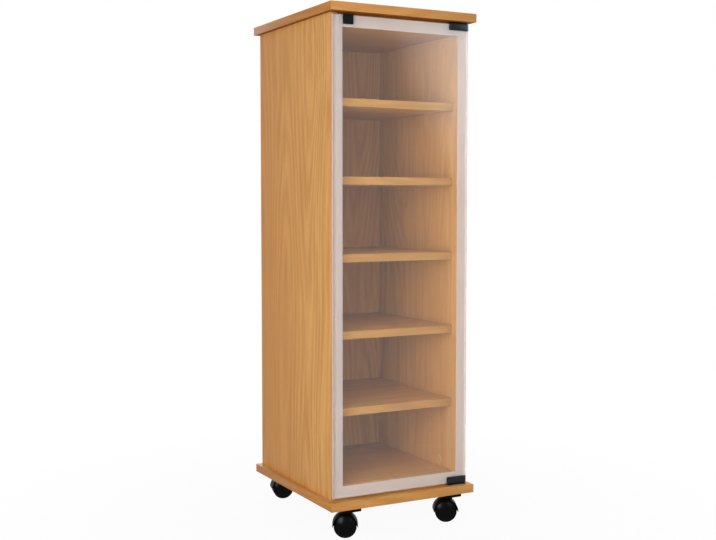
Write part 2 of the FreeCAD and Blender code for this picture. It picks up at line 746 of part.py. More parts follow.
def hinge_pieces():
    """Pieces of the lower hinge, with the pivot axis on Z and the glass towards -X."""
    inset = size.pivot_inset
    half = size.glass_thick / 2 + size.clamp_pad
    left = inset - size.clamp_width
    boss_right = left + size.clamp_boss_width
    rear = inset + size.clamp_boss_thick
    tall = size.clamp_bridge + size.clamp_grip
    origin = (ZERO, ZERO, ZERO)
    body = padded("clamp_body", [
        (left, -inset),
        (ZERO, -inset),
        (ZERO, inset),
        (boss_right, inset),
        (boss_right, rear),
        (left, rear),
    ], tall)
    blank = joined("clamp_blank", [body, rod("clamp_nose", origin, inset, tall)])
    head_low = size.clamp_bridge - size.pivot_head_thick
    head_radius = size.pivot_radius + size.pivot_head_step
    slot_extent = (size.clamp_width, half * 2, size.clamp_grip)
    screw_z = size.clamp_bridge + size.clamp_grip / 2
    screw_spots = [
        (x, rear, screw_z) for x in (left + size.clamp_screw_inset, boss_right - size.clamp_screw_inset)
    ]
    tools = [
        block("slot", (left, -half, size.clamp_bridge), slot_extent),
        rod("pin_hole", origin, size.pivot_radius, size.clamp_bridge),
        rod("head_hole", (ZERO, ZERO, head_low), head_radius, size.pivot_head_thick),
    ]
    for spot in screw_spots:
        tools.append(rod("screw_hole", spot, size.clamp_screw_radius, rear - half, "-y"))
    pin = turned("pivot_pin", [
        (ZERO, -size.pivot_length),
        (size.pivot_radius - size.pin_bevel, -size.pivot_length),
        (size.pivot_radius, -size.pivot_length + size.pin_bevel),
        (size.pivot_radius, head_low),
        (head_radius, head_low),
        (head_radius, size.clamp_bridge),
        (ZERO, size.clamp_bridge),
    ])
    pad_extent = (size.clamp_width, size.clamp_pad, size.clamp_grip)
    pads = [
        block("clamp_pad", (left, y, size.clamp_bridge), pad_extent)
        for y in (-half, size.glass_thick / 2)
    ]
    shank = rod("clamp_screw_shank", origin, size.clamp_screw_radius, rear - half)
    screw = cut("clamp_screw", shank, [rod("socket", origin, size.socket_radius, size.socket_depth)])
    return {
        "hinge_clamp": cut("clamp", blank, tools),
        "pivot_pin": pin,
        "clamp_pads": group("pad_pair", pads),
        "clamp_screws": copies("screw_pair", screw, screw_spots, "-y"),
    }


def make_hinges():
    """Both corner hinges: the upper one is the lower one mirrored."""
    seat = size.bush_flange + size.hinge_play
    levels = {"bottom": base_top + seat, "top": top_under - seat}
    placed = {}
    for label, master in hinge_pieces().items():
        for end, level in levels.items():
            thing = master
            if end == "top":
                thing = doc.addObject("Part::Mirroring", f"{label}_mirror")
                thing.Source = master
                thing.Normal = UP
            spot = (pivot_x, pivot_y, level)
            placed[f"{label}_{end}"] = link_to(thing, f"{label}_{end}_link", spot, turn("z"))
    for label in ("hinge_clamp_bottom", "pivot_pin_bottom", "hinge_clamp_top", "pivot_pin_top"):
        keep(group(label, [placed[label]]), label)
    for label in ("clamp_pads", "clamp_screws"):
        keep(group(label, [placed[f"{label}_{end}"] for end in levels]), label)


def make_bushes():
    """Flanged bushes in the plates, which the pivot pins turn in."""
    bore = size.pivot_radius + size.pin_play
    flange_radius = size.glass_thick / 2 + size.glass_rear_gap - size.bush_side_gap
    for name, face, axis in (("bottom", base_top, "z"), ("top", top_under, "-z")):
        label = f"pivot_bush_{name}"
        bush = turned(label, [
            (ZERO, -bush_depth),
            (bush_radius, -bush_depth),
            (bush_radius, ZERO),
            (flange_radius, ZERO),
            (flange_radius, size.bush_flange),
            (bore, size.bush_flange),
            (bore, -size.pivot_length),
            (ZERO, -size.pivot_length),
        ])
        keep(place(bush, (pivot_x, pivot_y, face), turn(axis)), label)


def make_clip():
    """Spring clip over the top edge of the glass, and its liner."""
    left = catch_x - size.clip_width / 2
    low = glass_high + clip_cover - size.clip_height
    extent = (size.clip_width, size.glass_thick + clip_cover * 2, size.clip_height)
    sheet_metal = block("clip_outer", (left, glass_front - clip_cover, low), extent)
    liner_spot = (left, glass_front - size.clip_liner, low)
    liner_high = size.clip_height - size.clip_metal
    liner_extent = (size.clip_width, size.glass_thick + size.clip_liner * 2, liner_high)
    throat = block("clip_throat", liner_spot, liner_extent)
    keep(cut("catch_clip", sheet_metal, [throat]), "catch_clip")
    liner = block("liner_outer", liner_spot, liner_extent)
    extent = (size.clip_width, size.glass_thick, liner_high - size.clip_liner)
    inner = block("liner_inner", (left, glass_front, low), extent)
    keep(cut("clip_liner", liner, [inner]), "clip_liner")


def make_catch():
    """Magnetic catch behind the glass: housing, two pole plates and the magnet between them."""
    housing_low = top_under - size.catch_height
    extent = (size.catch_length, catch_depth, size.catch_height)
    housing = block("housing_block", (catch_left, catch_front, housing_low), extent)
    middle = top_under - size.catch_height / 2
    stack = size.pole_thick * 2 + size.magnet_thick
    stack_left = catch_x - size.pole_width / 2
    play = size.pocket_play
    spot = (stack_left - play, catch_front, middle - stack / 2 - play)
    extent = (size.pole_width + play * 2, size.magnet_depth + play, stack + play * 2)
    tools = [block("pocket", spot, extent)]
    for x, y in catch_screw_spots:
        tools.append(rod("bore", (x, y, housing_low), size.screw_radius, size.catch_height))
        tools.append(countersink((x, y, housing_low), "z"))
    keep(cut("catch_housing", housing, tools), "catch_housing")
    extent = (size.pole_width, size.magnet_depth + size.pole_reach, size.pole_thick)
    poles = [
        block("pole", (stack_left, catch_front - size.pole_reach, z), extent)
        for z in (middle - stack / 2, middle + size.magnet_thick / 2)
    ]
    keep(group("pole_plates", poles), "pole_plates")
    spot = (stack_left, catch_front, middle - size.magnet_thick / 2)
    magnet = block("magnet", spot, (size.pole_width, size.magnet_depth, size.magnet_thick))
    keep(magnet, "catch_magnet")


def make_buffers():
    """Clear buffers on the left side panel's front edge, where the shut glass comes to rest."""
    thick = size.glass_rear_gap - size.buffer_play
    corners = [
        (ZERO, ZERO),
        (size.buffer_radius, ZERO),
        (size.buffer_radius, size.buffer_rim),
        (ZERO, thick),
    ]
    buffer = turned("buffer", corners, dome=2)
    heights = (base_top + size.buffer_end, top_under - size.buffer_end)
    spots = [(-side_middle, side_front, z) for z in heights]
    keep(copies("door_buffers", buffer, spots, "-y"), "door_buffers")


# Casters
def make_caster_plates():
    """Square plates with a bore and a countersink for the kingpin and for each screw."""
    half = size.caster_plate / 2
    head_low = size.caster_plate_thick - size.kingpin_head_thick
    for corner, (x, y) in caster_axes.items():
        name = f"caster_plate_{corner}"
        outline = rectangle(-half, -half, half, half)
        body = padded(f"{name}_body", outline, size.caster_plate_thick)
        round_edges(body, UP, size.caster_plate_corner)
        head_spot = (ZERO, ZERO, head_low)
        tools = [
            rod("bore", (ZERO, ZERO, ZERO), size.kingpin_radius, size.caster_plate_thick),
            rod("head", head_spot, size.kingpin_head_radius, size.kingpin_head_thick),
        ]
        for dx, dy in caster_screw_offsets:
            tools.append(rod("bore", (dx, dy, ZERO), size.screw_radius, size.caster_plate_thick))
            tools.append(countersink((dx, dy, ZERO), "z"))
        keep(place(cut(name, body, tools), (x, y, caster_plate_low), turn("z")), name)


def make_kingpins():
    """Kingpins pressed into the plates, and the rings that keep the hoods on them."""
    length = base_under - kingpin_low
    head_low = length - size.kingpin_head_thick
    groove_high = size.ring_above_end + size.ring_thick
    radius = size.kingpin_radius
    pin = turned("kingpin", [
        (ZERO, ZERO),
        (radius - size.pin_bevel, ZERO),
        (radius, size.pin_bevel),
        (radius, size.ring_above_end),
        (ring_inner, size.ring_above_end),
        (ring_inner, groove_high),
        (radius, groove_high),
        (radius, head_low),
        (size.kingpin_head_radius, head_low),
        (size.kingpin_head_radius, length),
        (ZERO, length),
    ])
    disc = rod("ring_disc", (ZERO, ZERO, ZERO), ring_outer, size.ring_thick)
    hole = rod("ring_hole", (ZERO, ZERO, ZERO), ring_inner, size.ring_thick)
    mouth = block("ring_mouth", (ZERO, -ring_inner / 2, ZERO), (ring_outer, ring_inner, size.ring_thick))
    ring = cut("kingpin_ring", disc, [hole, mouth])
    for label, master, low in (("kingpins", pin, kingpin_low), ("kingpin_rings", ring, ring_low)):
        spots = [(x, y, low) for x, y in caster_axes.values()]
        keep(copies(label, master, spots), label)


def keep_in_caster(corner, thing, label):
    """Sets a piece made with its trail along +X under its plate, turned as photographed."""
    place(thing, caster_axes[corner], FreeCAD.Rotation(UP, 1))
    thing.setExpression("Placement.Rotation.Angle", f"sizes.yaw_{corner}")
    keep(thing, label)


def make_hood(corner):
    """One moulding: fender over both wheels, web between them, and the boss of the kingpin."""
    trail = size.caster_trail
    axle = size.wheel_radius
    half = caster_half_width
    below = (hood_outer * 2, half * 2, hood_outer)

    def lower(name):
        return block(name, (trail - hood_outer, -half, axle - hood_outer), below)

    fender_disc = rod("fender_disc", (trail, -half, axle), hood_outer, half * 2, "y")
    fender_room = rod("fender_room", (trail, -half, axle), hood_inner, half * 2, "y")
    fender = cut("fender", fender_disc, [fender_room, lower("fender_lower")])
    web_disc = rod("web_disc", (trail, -web_half, axle), hood_inner, web_half * 2, "y")
    web = cut("web", web_disc, [lower("web_lower")])
    lobe = rod("lobe", (trail, -web_half, axle), size.web_lobe_radius, web_half * 2, "y")
    boss_low = axle + hood_inner / 2
    boss = rod("boss", (ZERO, ZERO, boss_low), size.hood_boss_radius, boss_top - boss_low)
    rooms = [
        rod("wheel_room", (trail, web_half * sign, axle), hood_inner, size.hood_boss_radius, axis)
        for sign, axis in ((1, "y"), (-1, "-y"))
    ]
    blank = joined("hood_blank", [fender, web, lobe, cut("stem", boss, rooms)])
    play = size.swivel_play
    bore_low = kingpin_low - play
    tools = [
        rod("pin_bore", (ZERO, ZERO, bore_low), size.kingpin_radius + size.pin_play, boss_top - bore_low),
        rod("ring_room", (ZERO, ZERO, ring_low - play), ring_outer + play, size.ring_thick + play * 2),
        rod("axle_bore", (trail, -web_half, axle), size.axle_radius, web_half * 2, "y"),
    ]
    keep_in_caster(corner, cut(f"hood_{corner}", blank, tools), f"hood_{corner}")


def make_axle(corner):
    half = wheel_inner + wheel_bore_depth - size.axle_play
    spot = (size.caster_trail, -half, size.wheel_radius)
    axle = rod(f"axle_{corner}_rod", spot, size.axle_radius, half * 2, "y")
    keep_in_caster(corner, group(f"axle_{corner}", [axle]), f"axle_{corner}")


def make_wheel(corner, number, sign, axis):
    """Domed wheel with a blind bore. Its heights run outwards from its inner face."""
    radius = size.wheel_radius
    bore = size.axle_radius + size.pin_play
    name = f"wheel_{corner}_{number}"
    body = turned(f"{name}_body", [
        (bore, ZERO),
        (radius - size.wheel_edge, ZERO),
        (radius, size.wheel_edge),
        (radius, size.wheel_thick - size.wheel_dome),
        (ZERO, size.wheel_thick),
        (ZERO, wheel_bore_depth),
        (bore, wheel_bore_depth),
    ], dome=3)
    spot = (size.caster_trail, wheel_inner * sign, size.wheel_radius)
    link = link_to(body, f"{name}_on_axle", spot, turn(axis))
    keep_in_caster(corner, group(name, [link]), name)


make_plates()
for side_name in SIDES:
    make_side(side_name)
make_end_boards()
make_shelves()
make_back_panel()
make_shelf_pins()
make_dowels()
make_cams()
make_screws()
make_glass()
make_hinges()
make_bushes()
make_clip()
make_catch()
make_buffers()
make_caster_plates()
make_kingpins()
for corner_name in caster_axes:
    make_hood(corner_name)
    make_axle(corner_name)
    make_wheel(corner_name, 1, 1, "y")
    make_wheel(corner_name, 2, -1, "-y")
doc.recompute()

failed = [thing.Name for thing in doc.Objects if set(thing.State) & {"Invalid", "Error"}]
if failed:
    raise SystemExit(f"failed objects: {failed}")
for thing in nodes:
    shape = thing.Shape
    if shape.isNull() or not shape.isValid() or not shape.Solids:
        raise SystemExit(f"bad shape: {thing.Label}")

os.makedirs("parts", exist_ok=True)
for thing in nodes:
    thing.Shape.exportStep(f"parts/{thing.Label}.step")
    print(f"{thing.Label}: {len(thing.Shape.Solids)} solids, {thing.Shape.Volume / 1000:.2f} cm3")
print(f"{len(nodes)} nodes, compartment {compartment.number():.2f} mm")
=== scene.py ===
"""Looks of a rolling board cabinet with a glass door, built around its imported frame."""

import json
import logging
import math
from dataclasses import dataclass
from enum import Enum
from itertools import product

import bmesh
import bpy
from mathutils import Color, Matrix, Vector


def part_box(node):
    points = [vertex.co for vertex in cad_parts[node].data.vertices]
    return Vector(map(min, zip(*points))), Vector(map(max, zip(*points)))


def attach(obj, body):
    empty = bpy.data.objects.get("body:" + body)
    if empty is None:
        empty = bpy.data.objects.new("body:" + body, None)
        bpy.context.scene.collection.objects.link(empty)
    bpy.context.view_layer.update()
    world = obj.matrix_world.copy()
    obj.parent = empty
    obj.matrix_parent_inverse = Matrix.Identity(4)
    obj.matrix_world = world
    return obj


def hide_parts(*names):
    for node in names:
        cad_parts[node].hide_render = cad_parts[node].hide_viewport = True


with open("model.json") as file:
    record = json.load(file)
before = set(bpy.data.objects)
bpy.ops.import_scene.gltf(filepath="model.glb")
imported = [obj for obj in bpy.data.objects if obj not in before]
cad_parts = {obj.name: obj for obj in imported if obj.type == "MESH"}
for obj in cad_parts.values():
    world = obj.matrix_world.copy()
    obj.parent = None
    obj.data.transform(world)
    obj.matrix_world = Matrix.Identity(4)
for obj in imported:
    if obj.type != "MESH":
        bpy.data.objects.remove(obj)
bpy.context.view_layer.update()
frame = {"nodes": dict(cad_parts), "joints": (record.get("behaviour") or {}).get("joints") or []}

MM = 0.001
TOUCH = 1e-6
SCREW_HEAD_DEPTH = 2.2 * MM
UP = Vector((0, 0, 1))
WHITE = (1.0, 1.0, 1.0, 1.0)
FINE_GRIT = (900.0, 900.0, 900.0)
LOG = logging.getLogger("cabinet")

Mesh = bmesh.types.BMesh
Line = bmesh.types.BMEdge
Socket = bpy.types.NodeSocket
Rgb = tuple[int, int, int]
Spot = tuple[float, float, float]
Outline = list[tuple[float, float]]


class Axis(Enum):
    """Row axis that a grain or a strip runs along."""

    X = 0
    Y = 1
    Z = 2


class Edge(Enum):
    """Edge of a board that carries edge tape: the axis across it and the side it is on."""

    FRONT = (1, -1)
    BACK = (1, 1)
    LEFT = (0, -1)
    RIGHT = (0, 1)


def tone(colour: Rgb) -> tuple[float, float, float, float]:
    """Turns a colour as seen on a screen, 0 to 255, into the linear colour that shaders use."""
    linear = Color([level / 255 for level in colour]).from_srgb_to_scene_linear()
    return (*linear, 1.0)


@dataclass(frozen=True)
class Tree:
    """Adds nodes to a node tree and joins them in one call each."""

    tree: bpy.types.NodeTree

    def fill(self, socket: Socket, value: object) -> None:
        """Fills an input.

        Args:
            socket: the input.
            value: a plain value, or an output to link to it.
        """
        if isinstance(value, Socket):
            self.tree.links.new(value, socket)
        else:
            socket.default_value = value

    def add(self, kind: str, inputs: dict | None = None, **settings: object) -> bpy.types.Node:
        """Adds a node.

        Args:
            kind: the node's type name.
            inputs: socket names or numbers, each with a value or an output to link.
            settings: properties of the node, which are set first.

        Returns:
            The new node.
        """
        node = self.tree.nodes.new(kind)
        for name, value in settings.items():
            setattr(node, name, value)
        for name, value in (inputs or {}).items():
            self.fill(node.inputs[name], value)
        return node

    def math(self, operation: str, *values: object) -> Socket:
        """Adds a Math node of the given operation and returns its output."""
        return self.add("ShaderNodeMath", dict(enumerate(values)), operation=operation).outputs[0]

    def vector(self, operation: str, *values: object) -> bpy.types.Node:
        """Adds a Vector Math node of the given operation and returns it."""
        return self.add("ShaderNodeVectorMath", dict(enumerate(values)), operation=operation)

    def place(self) -> Socket:
        """Returns the object coordinates, which are the row frame in metres."""
        return self.add("ShaderNodeTexCoord").outputs["Object"]

    def bump(self, height: Socket, depth: float, strength: float) -> Socket:
        """Returns a normal bumped by a height, where depth is the relief in metres."""
        inputs = {"Height": height, "Distance": depth, "Strength": strength}
        return self.add("ShaderNodeBump", inputs).outputs["Normal"]

    def shifted(self, vector: Socket, noise: Socket, reach: float) -> Socket:
        """Returns a vector shifted across the grain by a noise colour, up to reach for a full colour."""
        centred = self.vector("SUBTRACT", noise, (0.5, 0.5, 0.5)).outputs[0]
        return self.vector("MULTIPLY_ADD", centred, (reach, reach, 0.0), vector).outputs[0]

    def noise(self, vector: Socket, scale: object, detail: float, roughness: float = 0.5) -> bpy.types.Node:
        """Adds a Noise Texture on a scaled vector and returns it."""
        inputs = {"Vector": self.vector("MULTIPLY", vector, scale).outputs[0], "Scale": 1.0}
        return self.add("ShaderNodeTexNoise", {**inputs, "Detail": detail, "Roughness": roughness})

    def ramp(self, value: Socket, low: float, high: float, to_low: float = 0.0,
             to_high: float = 1.0) -> Socket:
        """Maps a value from one clamped range to another and returns the result."""
        inputs = {"Value": value, "From Min": low, "From Max": high, "To Min": to_low, "To Max": to_high}
        return self.add("ShaderNodeMapRange", inputs).outputs["Result"]

    def blend(self, share: Socket, first: object, second: object) -> Socket:
        """Mixes two colours and returns the result."""
        return self.add("ShaderNodeMix", {0: share, 6: first, 7: second}, data_type="RGBA").outputs[2]

    def seen_directly(self) -> Socket:
        """Tells the rays that show something from the rays that light it.

        Returns:
            1 for camera, glossy and transmission rays, and 0 for the others.
        """
        path = self.add("ShaderNodeLightPath").outputs
        seen = self.math("MAXIMUM", path["Is Camera Ray"], path["Is Glossy Ray"])
        return self.math("MAXIMUM", seen, path["Is Transmission Ray"])


class Pattern:
    """Pattern that several finishes use: a node group, built once by its name."""

    name: str
    inputs: dict[str, str]
    outputs = {"Color": "Color", "Height": "Float", "Roughness": "Float"}

    def group(self) -> bpy.types.NodeTree:
        """Builds the group, unless it is there.

        Returns:
            The group: it puts out a colour, a height for bump and a roughness.
        """
        if self.name not in bpy.data.node_groups:
            made = bpy.data.node_groups.new(self.name, "ShaderNodeTree")
            for in_out, sockets in (("INPUT", self.inputs), ("OUTPUT", self.outputs)):
                for label, kind in sockets.items():
                    made.interface.new_socket(label, in_out=in_out, socket_type=f"NodeSocket{kind}")
            tree = Tree(made)
            start = tree.add("NodeGroupInput")
            end = tree.add("NodeGroupOutput")
            given = {label: start.outputs[label] for label in self.inputs}
            for label, value in self.draw(tree, given).items():
                tree.fill(end.inputs[label], value)
        return bpy.data.node_groups[self.name]

    def draw(self, tree: Tree, given: dict[str, Socket]) -> dict[str, Socket]:
        """Adds the pattern to the group's tree and returns what goes to each output."""
        raise NotImplementedError


class BeechPrint(Pattern):
    """Printed beech. The last number of each scale is along the grain, the vector's Z."""

    name = "beech_print"
    inputs = {"Vector": "Vector", "Light": "Color", "Dark": "Color", "Drift": "Color", "Fleck": "Color",
              "Contrast": "Float", "Roughness": "Float"}
    sway_scale = (3.4, 3.4, 1.7)
    sway_reach = 0.085
    ripple_scale = (15.0, 15.0, 5.0)
    ripple_reach = 0.011
    ring_scale = (9.0, 9.0, 0.7)
    ring_turns = 124.0
    ring_share = 0.16
    streak_scale = (80.0, 80.0, 3.6)
    streak_share = 0.44
    line_scale = (330.0, 330.0, 11.0)
    line_share = 0.40
    contrast_gain = 2.8
    cloud_scale = (5.0, 5.0, 2.0)
    cloud_range = (0.38, 0.62)
    cloud_share = 0.24
    # Painted shade: a slow sine along the laid vector's Y that makes the wood lighter towards the front and
    # darker towards the rear.
    painted_shade_start = 0.08
    painted_shade_turn = -11.9
    painted_shade_share = 0.38
    fleck_scale = (900.0, 900.0, 150.0)
    fleck_range = (0.66, 0.76, 0.0, 0.35)
    fleck_depth = 0.6
    gloss_range = (0.3, 0.7, -0.03, 0.05)

    def draw(self, tree: Tree, given: dict[str, Socket]) -> dict[str, Socket]:
        """Adds rings, streaks, fine lines and flecks on drifting tones, with a painted shade: a slow sine
        along the vector's Y that darkens the side panels towards the rear.

        Args:
            tree: the group's tree.
            given: the group's inputs by name.

        Returns:
            What goes to each output.
        """
        place = given["Vector"]
        sway = tree.noise(place, self.sway_scale, 1.0).outputs["Color"]
        ripple = tree.noise(place, self.ripple_scale, 1.0).outputs["Color"]
        bent = tree.shifted(tree.shifted(place, sway, self.sway_reach), ripple, self.ripple_reach)
        field = tree.noise(bent, self.ring_scale, 0.0).outputs["Fac"]
        wave = tree.math("SINE", tree.math("MULTIPLY", field, self.ring_turns))
        rings = tree.math("MULTIPLY_ADD", wave, 0.5, 0.5)
        streaks = tree.noise(bent, self.streak_scale, 2.0, 0.55).outputs["Fac"]
        lines = tree.noise(bent, self.line_scale, 3.0, 0.6).outputs["Fac"]
        mixed = tree.math("MULTIPLY_ADD", rings, self.ring_share,
                          tree.math("MULTIPLY", streaks, self.streak_share))
        mixed = tree.math("MULTIPLY_ADD", lines, self.line_share, mixed)
        gain = tree.math("MULTIPLY", given["Contrast"], self.contrast_gain)
        spread = tree.math("MULTIPLY_ADD", tree.math("SUBTRACT", mixed, 0.5), gain, 0.5)
        cloud = tree.noise(place, self.cloud_scale, 2.0).outputs["Fac"]
        # Painted shade: the sine along Y is mixed into the random tone drift, so the wood darkens towards the
        # rear.
        across = tree.add("ShaderNodeSeparateXYZ", {0: place}).outputs["Y"]
        phase = tree.math("MULTIPLY", tree.math("ADD", across, self.painted_shade_start), self.painted_shade_turn)
        painted_shade_sweep = tree.math("MULTIPLY_ADD", tree.math("SINE", phase), self.painted_shade_share, self.painted_shade_share)
        drift = tree.math("MULTIPLY_ADD", tree.ramp(cloud, *self.cloud_range), self.cloud_share, painted_shade_sweep)
        light = tree.blend(drift, given["Drift"], given["Light"])
        wood = tree.blend(tree.ramp(spread, 0.0, 1.0), given["Dark"], light)
        dash = tree.noise(place, self.fleck_scale, 1.0).outputs["Fac"]
        fleck = tree.ramp(dash, *self.fleck_range)
        return {
            "Color": tree.blend(fleck, wood, given["Fleck"]),
            "Height": tree.math("SUBTRACT", lines, tree.math("MULTIPLY", fleck, self.fleck_depth)),
            "Roughness": tree.math("ADD", given["Roughness"], tree.ramp(lines, *self.gloss_range)),
        }


class MouldedSkin(Pattern):
    """Fine pebbles and soft patches of moulded or coated black surfaces."""

    name = "moulded_skin"
    inputs = {"Vector": "Vector", "Base": "Color", "Worn": "Color", "Scale": "Float", "Roughness": "Float",
              "Variation": "Float"}
    patch_scale = (60.0, 60.0, 60.0)
    patch_range = (0.35, 0.75, 0.0, 0.5)

    def draw(self, tree: Tree, given: dict[str, Socket]) -> dict[str, Socket]:
        """Adds the pebbles and the patches.

        Args:
            tree: the group's tree.
            given: the group's inputs by name.

        Returns:
            What goes to each output.
        """
        patch = tree.noise(given["Vector"], self.patch_scale, 3.0).outputs["Fac"]
        swing = tree.math("MULTIPLY", tree.math("SUBTRACT", patch, 0.5), given["Variation"])
        return {
            "Color": tree.blend(tree.ramp(patch, *self.patch_range), given["Base"], given["Worn"]),
            "Height": tree.noise(given["Vector"], given["Scale"], 2.0).outputs["Fac"],
            "Roughness": tree.math("ADD", given["Roughness"], swing),
        }


@dataclass(frozen=True)
class Finish:
    """A surface finish: its material is built once, by its name."""

    name: str

    def material(self) -> bpy.types.Material:
        """Builds the material, unless it is there.

        Returns:
            The material.
        """
        if self.name not in bpy.data.materials:
            made = bpy.data.materials.new(self.name)
            made.use_nodes = True
            made.node_tree.nodes.clear()
            tree = Tree(made.node_tree)
            tree.add("ShaderNodeOutputMaterial", {"Surface": self.surface(tree)})
        return bpy.data.materials[self.name]

    def surface(self, tree: Tree) -> Socket:
        """Adds the finish's shader to a material's tree and returns its output."""
        raise NotImplementedError


@dataclass(frozen=True)
class BeechFoil(Finish):
    """Beech-coloured melamine foil or edge tape on a board."""

    grain: Axis = Axis.Z
    light: Rgb = (220, 168, 98)
    dark: Rgb = (188, 130, 68)
    # The darker colour that both the random tone drift and the painted shade blend towards.
    drift: Rgb = (205, 143, 80)
    fleck: Rgb = (156, 100, 50)
    contrast: float = 1.0
    roughness: float = 0.45
    slant: float = 0.6

    def surface(self, tree: Tree) -> Socket:
        """Adds the foil, with its grain along the board.

        Args:
            tree: the material's tree.

        Returns:
            The shader.
        """
        quarter = math.pi / 2
        turn = (quarter * (self.grain is Axis.Y), quarter * (self.grain is Axis.X), self.slant)
        laid = tree.add("ShaderNodeMapping", {"Vector": tree.place(), "Rotation": turn})
        pattern = tree.add("ShaderNodeGroup", {
            "Vector": laid.outputs[0], "Light": tone(self.light), "Dark": tone(self.dark),
            "Drift": tone(self.drift), "Fleck": tone(self.fleck), "Contrast": self.contrast,
            "Roughness": self.roughness,
        }, node_tree=BeechPrint().group())
        return tree.add("ShaderNodeBsdfPrincipled", {
            "Base Color": pattern.outputs["Color"],
            "Roughness": pattern.outputs["Roughness"],
            "Normal": tree.bump(pattern.outputs["Height"], 0.04 * MM, 0.35),
            "Specular IOR Level": 0.1,
        }).outputs[0]


@dataclass(frozen=True)
class EdgeTape(BeechFoil):
    """Edge tape, whose print is plainer than that of the boards' foil."""

    light: Rgb = (208, 152, 86)
    dark: Rgb = (182, 124, 66)
    drift: Rgb = (202, 144, 82)
    contrast: float = 0.8
    roughness: float = 0.4


@dataclass(frozen=True)
class BlackSkin(Finish):
    """Black plastic or coated metal, from matte to polished."""

    base: Rgb = (14, 14, 16)
    worn: Rgb = (34, 36, 42)
    scale: float = 900.0
    roughness: float = 0.4
    variation: float = 0.1
    relief: float = 0.02
    specular: float = 0.5

    def surface(self, tree: Tree) -> Socket:
        """Adds the black skin with its moulded relief.

        Args:
            tree: the material's tree.

        Returns:
            The shader.
        """
        pattern = tree.add("ShaderNodeGroup", {
            "Vector": tree.place(), "Base": tone(self.base), "Worn": tone(self.worn),
            "Scale": self.scale, "Roughness": self.roughness, "Variation": self.variation,
        }, node_tree=MouldedSkin().group())
        return tree.add("ShaderNodeBsdfPrincipled", {
            "Base Color": pattern.outputs["Color"],
            "Roughness": pattern.outputs["Roughness"],
            "Normal": tree.bump(pattern.outputs["Height"], self.relief * MM, 0.5),
            "Specular IOR Level": self.specular,
        }).outputs[0]


@dataclass(frozen=True)
class PaneGlass(Finish):
    """Glass of the door: clear, satin or ground. Its shade is the colour of its shadow."""

    tint: Rgb = (250, 253, 251)
    shade: Rgb = (213, 217, 215)
    transmission: float = 1.0
    roughness: float = 0.01
    specular: float = 0.12
    grit: Spot = (700.0, 700.0, 700.0)

    def surface(self, tree: Tree) -> Socket:
        """Adds glass that lets the lamps through, so that the compartments are lit.

        Args:
            tree: the material's tree.

        Returns:
            The shader.
        """
        grit = tree.noise(tree.place(), self.grit, 2.0).outputs["Fac"]
        shader = tree.add("ShaderNodeBsdfPrincipled", {
            "Base Color": tone(self.tint),
            "Roughness": tree.ramp(grit, 0.2, 0.8, self.roughness * 0.8, self.roughness * 1.2),
            "IOR": 1.5,
            "Specular IOR Level": self.specular,
            "Transmission Weight": self.transmission,
        })
        clear = tree.add("ShaderNodeBsdfTransparent", {"Color": tone(self.shade)})
        shadow = tree.add("ShaderNodeLightPath").outputs["Is Shadow Ray"]
        share = tree.math("MULTIPLY", shadow, self.transmission)
        mixed = tree.add("ShaderNodeMixShader", {0: share, 1: shader.outputs[0], 2: clear.outputs[0]})
        return mixed.outputs[0]


@dataclass(frozen=True)
class PlainFinish(Finish):
    """Metal, light plastic, rubber or raw wood, with a fine variation of tone."""

    base: Rgb = (170, 170, 174)
    worn: Rgb = (140, 140, 146)
    grit: Spot = (400.0, 400.0, 400.0)
    roughness: float = 0.35
    metallic: float = 0.0
    relief: float = 0.01
    transmission: float = 0.0
    detail: float = 3.0

    def surface(self, tree: Tree) -> Socket:
        """Adds the finish with its grit in colour, roughness and relief.

        Args:
            tree: the material's tree.

        Returns:
            The shader.
        """
        grit = tree.noise(tree.place(), self.grit, self.detail, 0.6).outputs["Fac"]
        return tree.add("ShaderNodeBsdfPrincipled", {
            "Base Color": tree.blend(tree.ramp(grit, 0.3, 0.7), tone(self.worn), tone(self.base)),
            "Roughness": tree.ramp(grit, 0.25, 0.75, self.roughness + 0.06, self.roughness - 0.04),
            "Normal": tree.bump(grit, self.relief * MM, 0.4),
            "Metallic": self.metallic,
            "Transmission Weight": self.transmission,
        }).outputs[0]


@dataclass(frozen=True)
class StudioFloor(Finish):
    """Pale floor that looks white to the camera and keeps the shadow."""

    grey: float = 0.5
    near: float = 0.3
    far: float = 0.9
    glow_near: float = 0.95

    def surface(self, tree: Tree) -> Socket:
        """Adds the floor, lifted to plain white away from the shadow, for camera, gloss and glass.

        Args:
            tree: the material's tree.

        Returns:
            The shader.
        """
        floor = tree.add("ShaderNodeBsdfDiffuse", {"Color": (self.grey, self.grey, self.grey, 1.0)})
        glow = tree.add("ShaderNodeEmission", {"Color": WHITE, "Strength": 1.0})
        away = tree.vector("LENGTH", tree.place()).outputs["Value"]
        lift = tree.ramp(away, self.near, self.far, self.glow_near)
        share = tree.math("MULTIPLY", tree.seen_directly(), lift)
        return tree.add("ShaderNodeMixShader", {0: share, 1: floor.outputs[0], 2: glow.outputs[0]}).outputs[0]


FOIL = {axis: BeechFoil(f"beech_foil_{axis.name.lower()}", axis) for axis in Axis}
# Painted shade: a darker foil on the downward faces of the top and base panels, standing in for the shade
# under them.
SHADED_UNDERSIDE_FOIL = BeechFoil("beech_underside_painted_shade", Axis.X, (156, 98, 46), (130, 78, 34), (146, 90, 42), roughness=0.6)
TAPE = {axis: EdgeTape(f"beech_tape_{axis.name.lower()}", axis) for axis in (Axis.X, Axis.Z)}
# Painted shade: the tape on the left and right edges of the top and base panels is a darker copy of the same
# tape.
TAPE[Axis.Y] = EdgeTape("beech_tape_y", Axis.Y, (194, 134, 66), (166, 108, 50), (184, 124, 60))
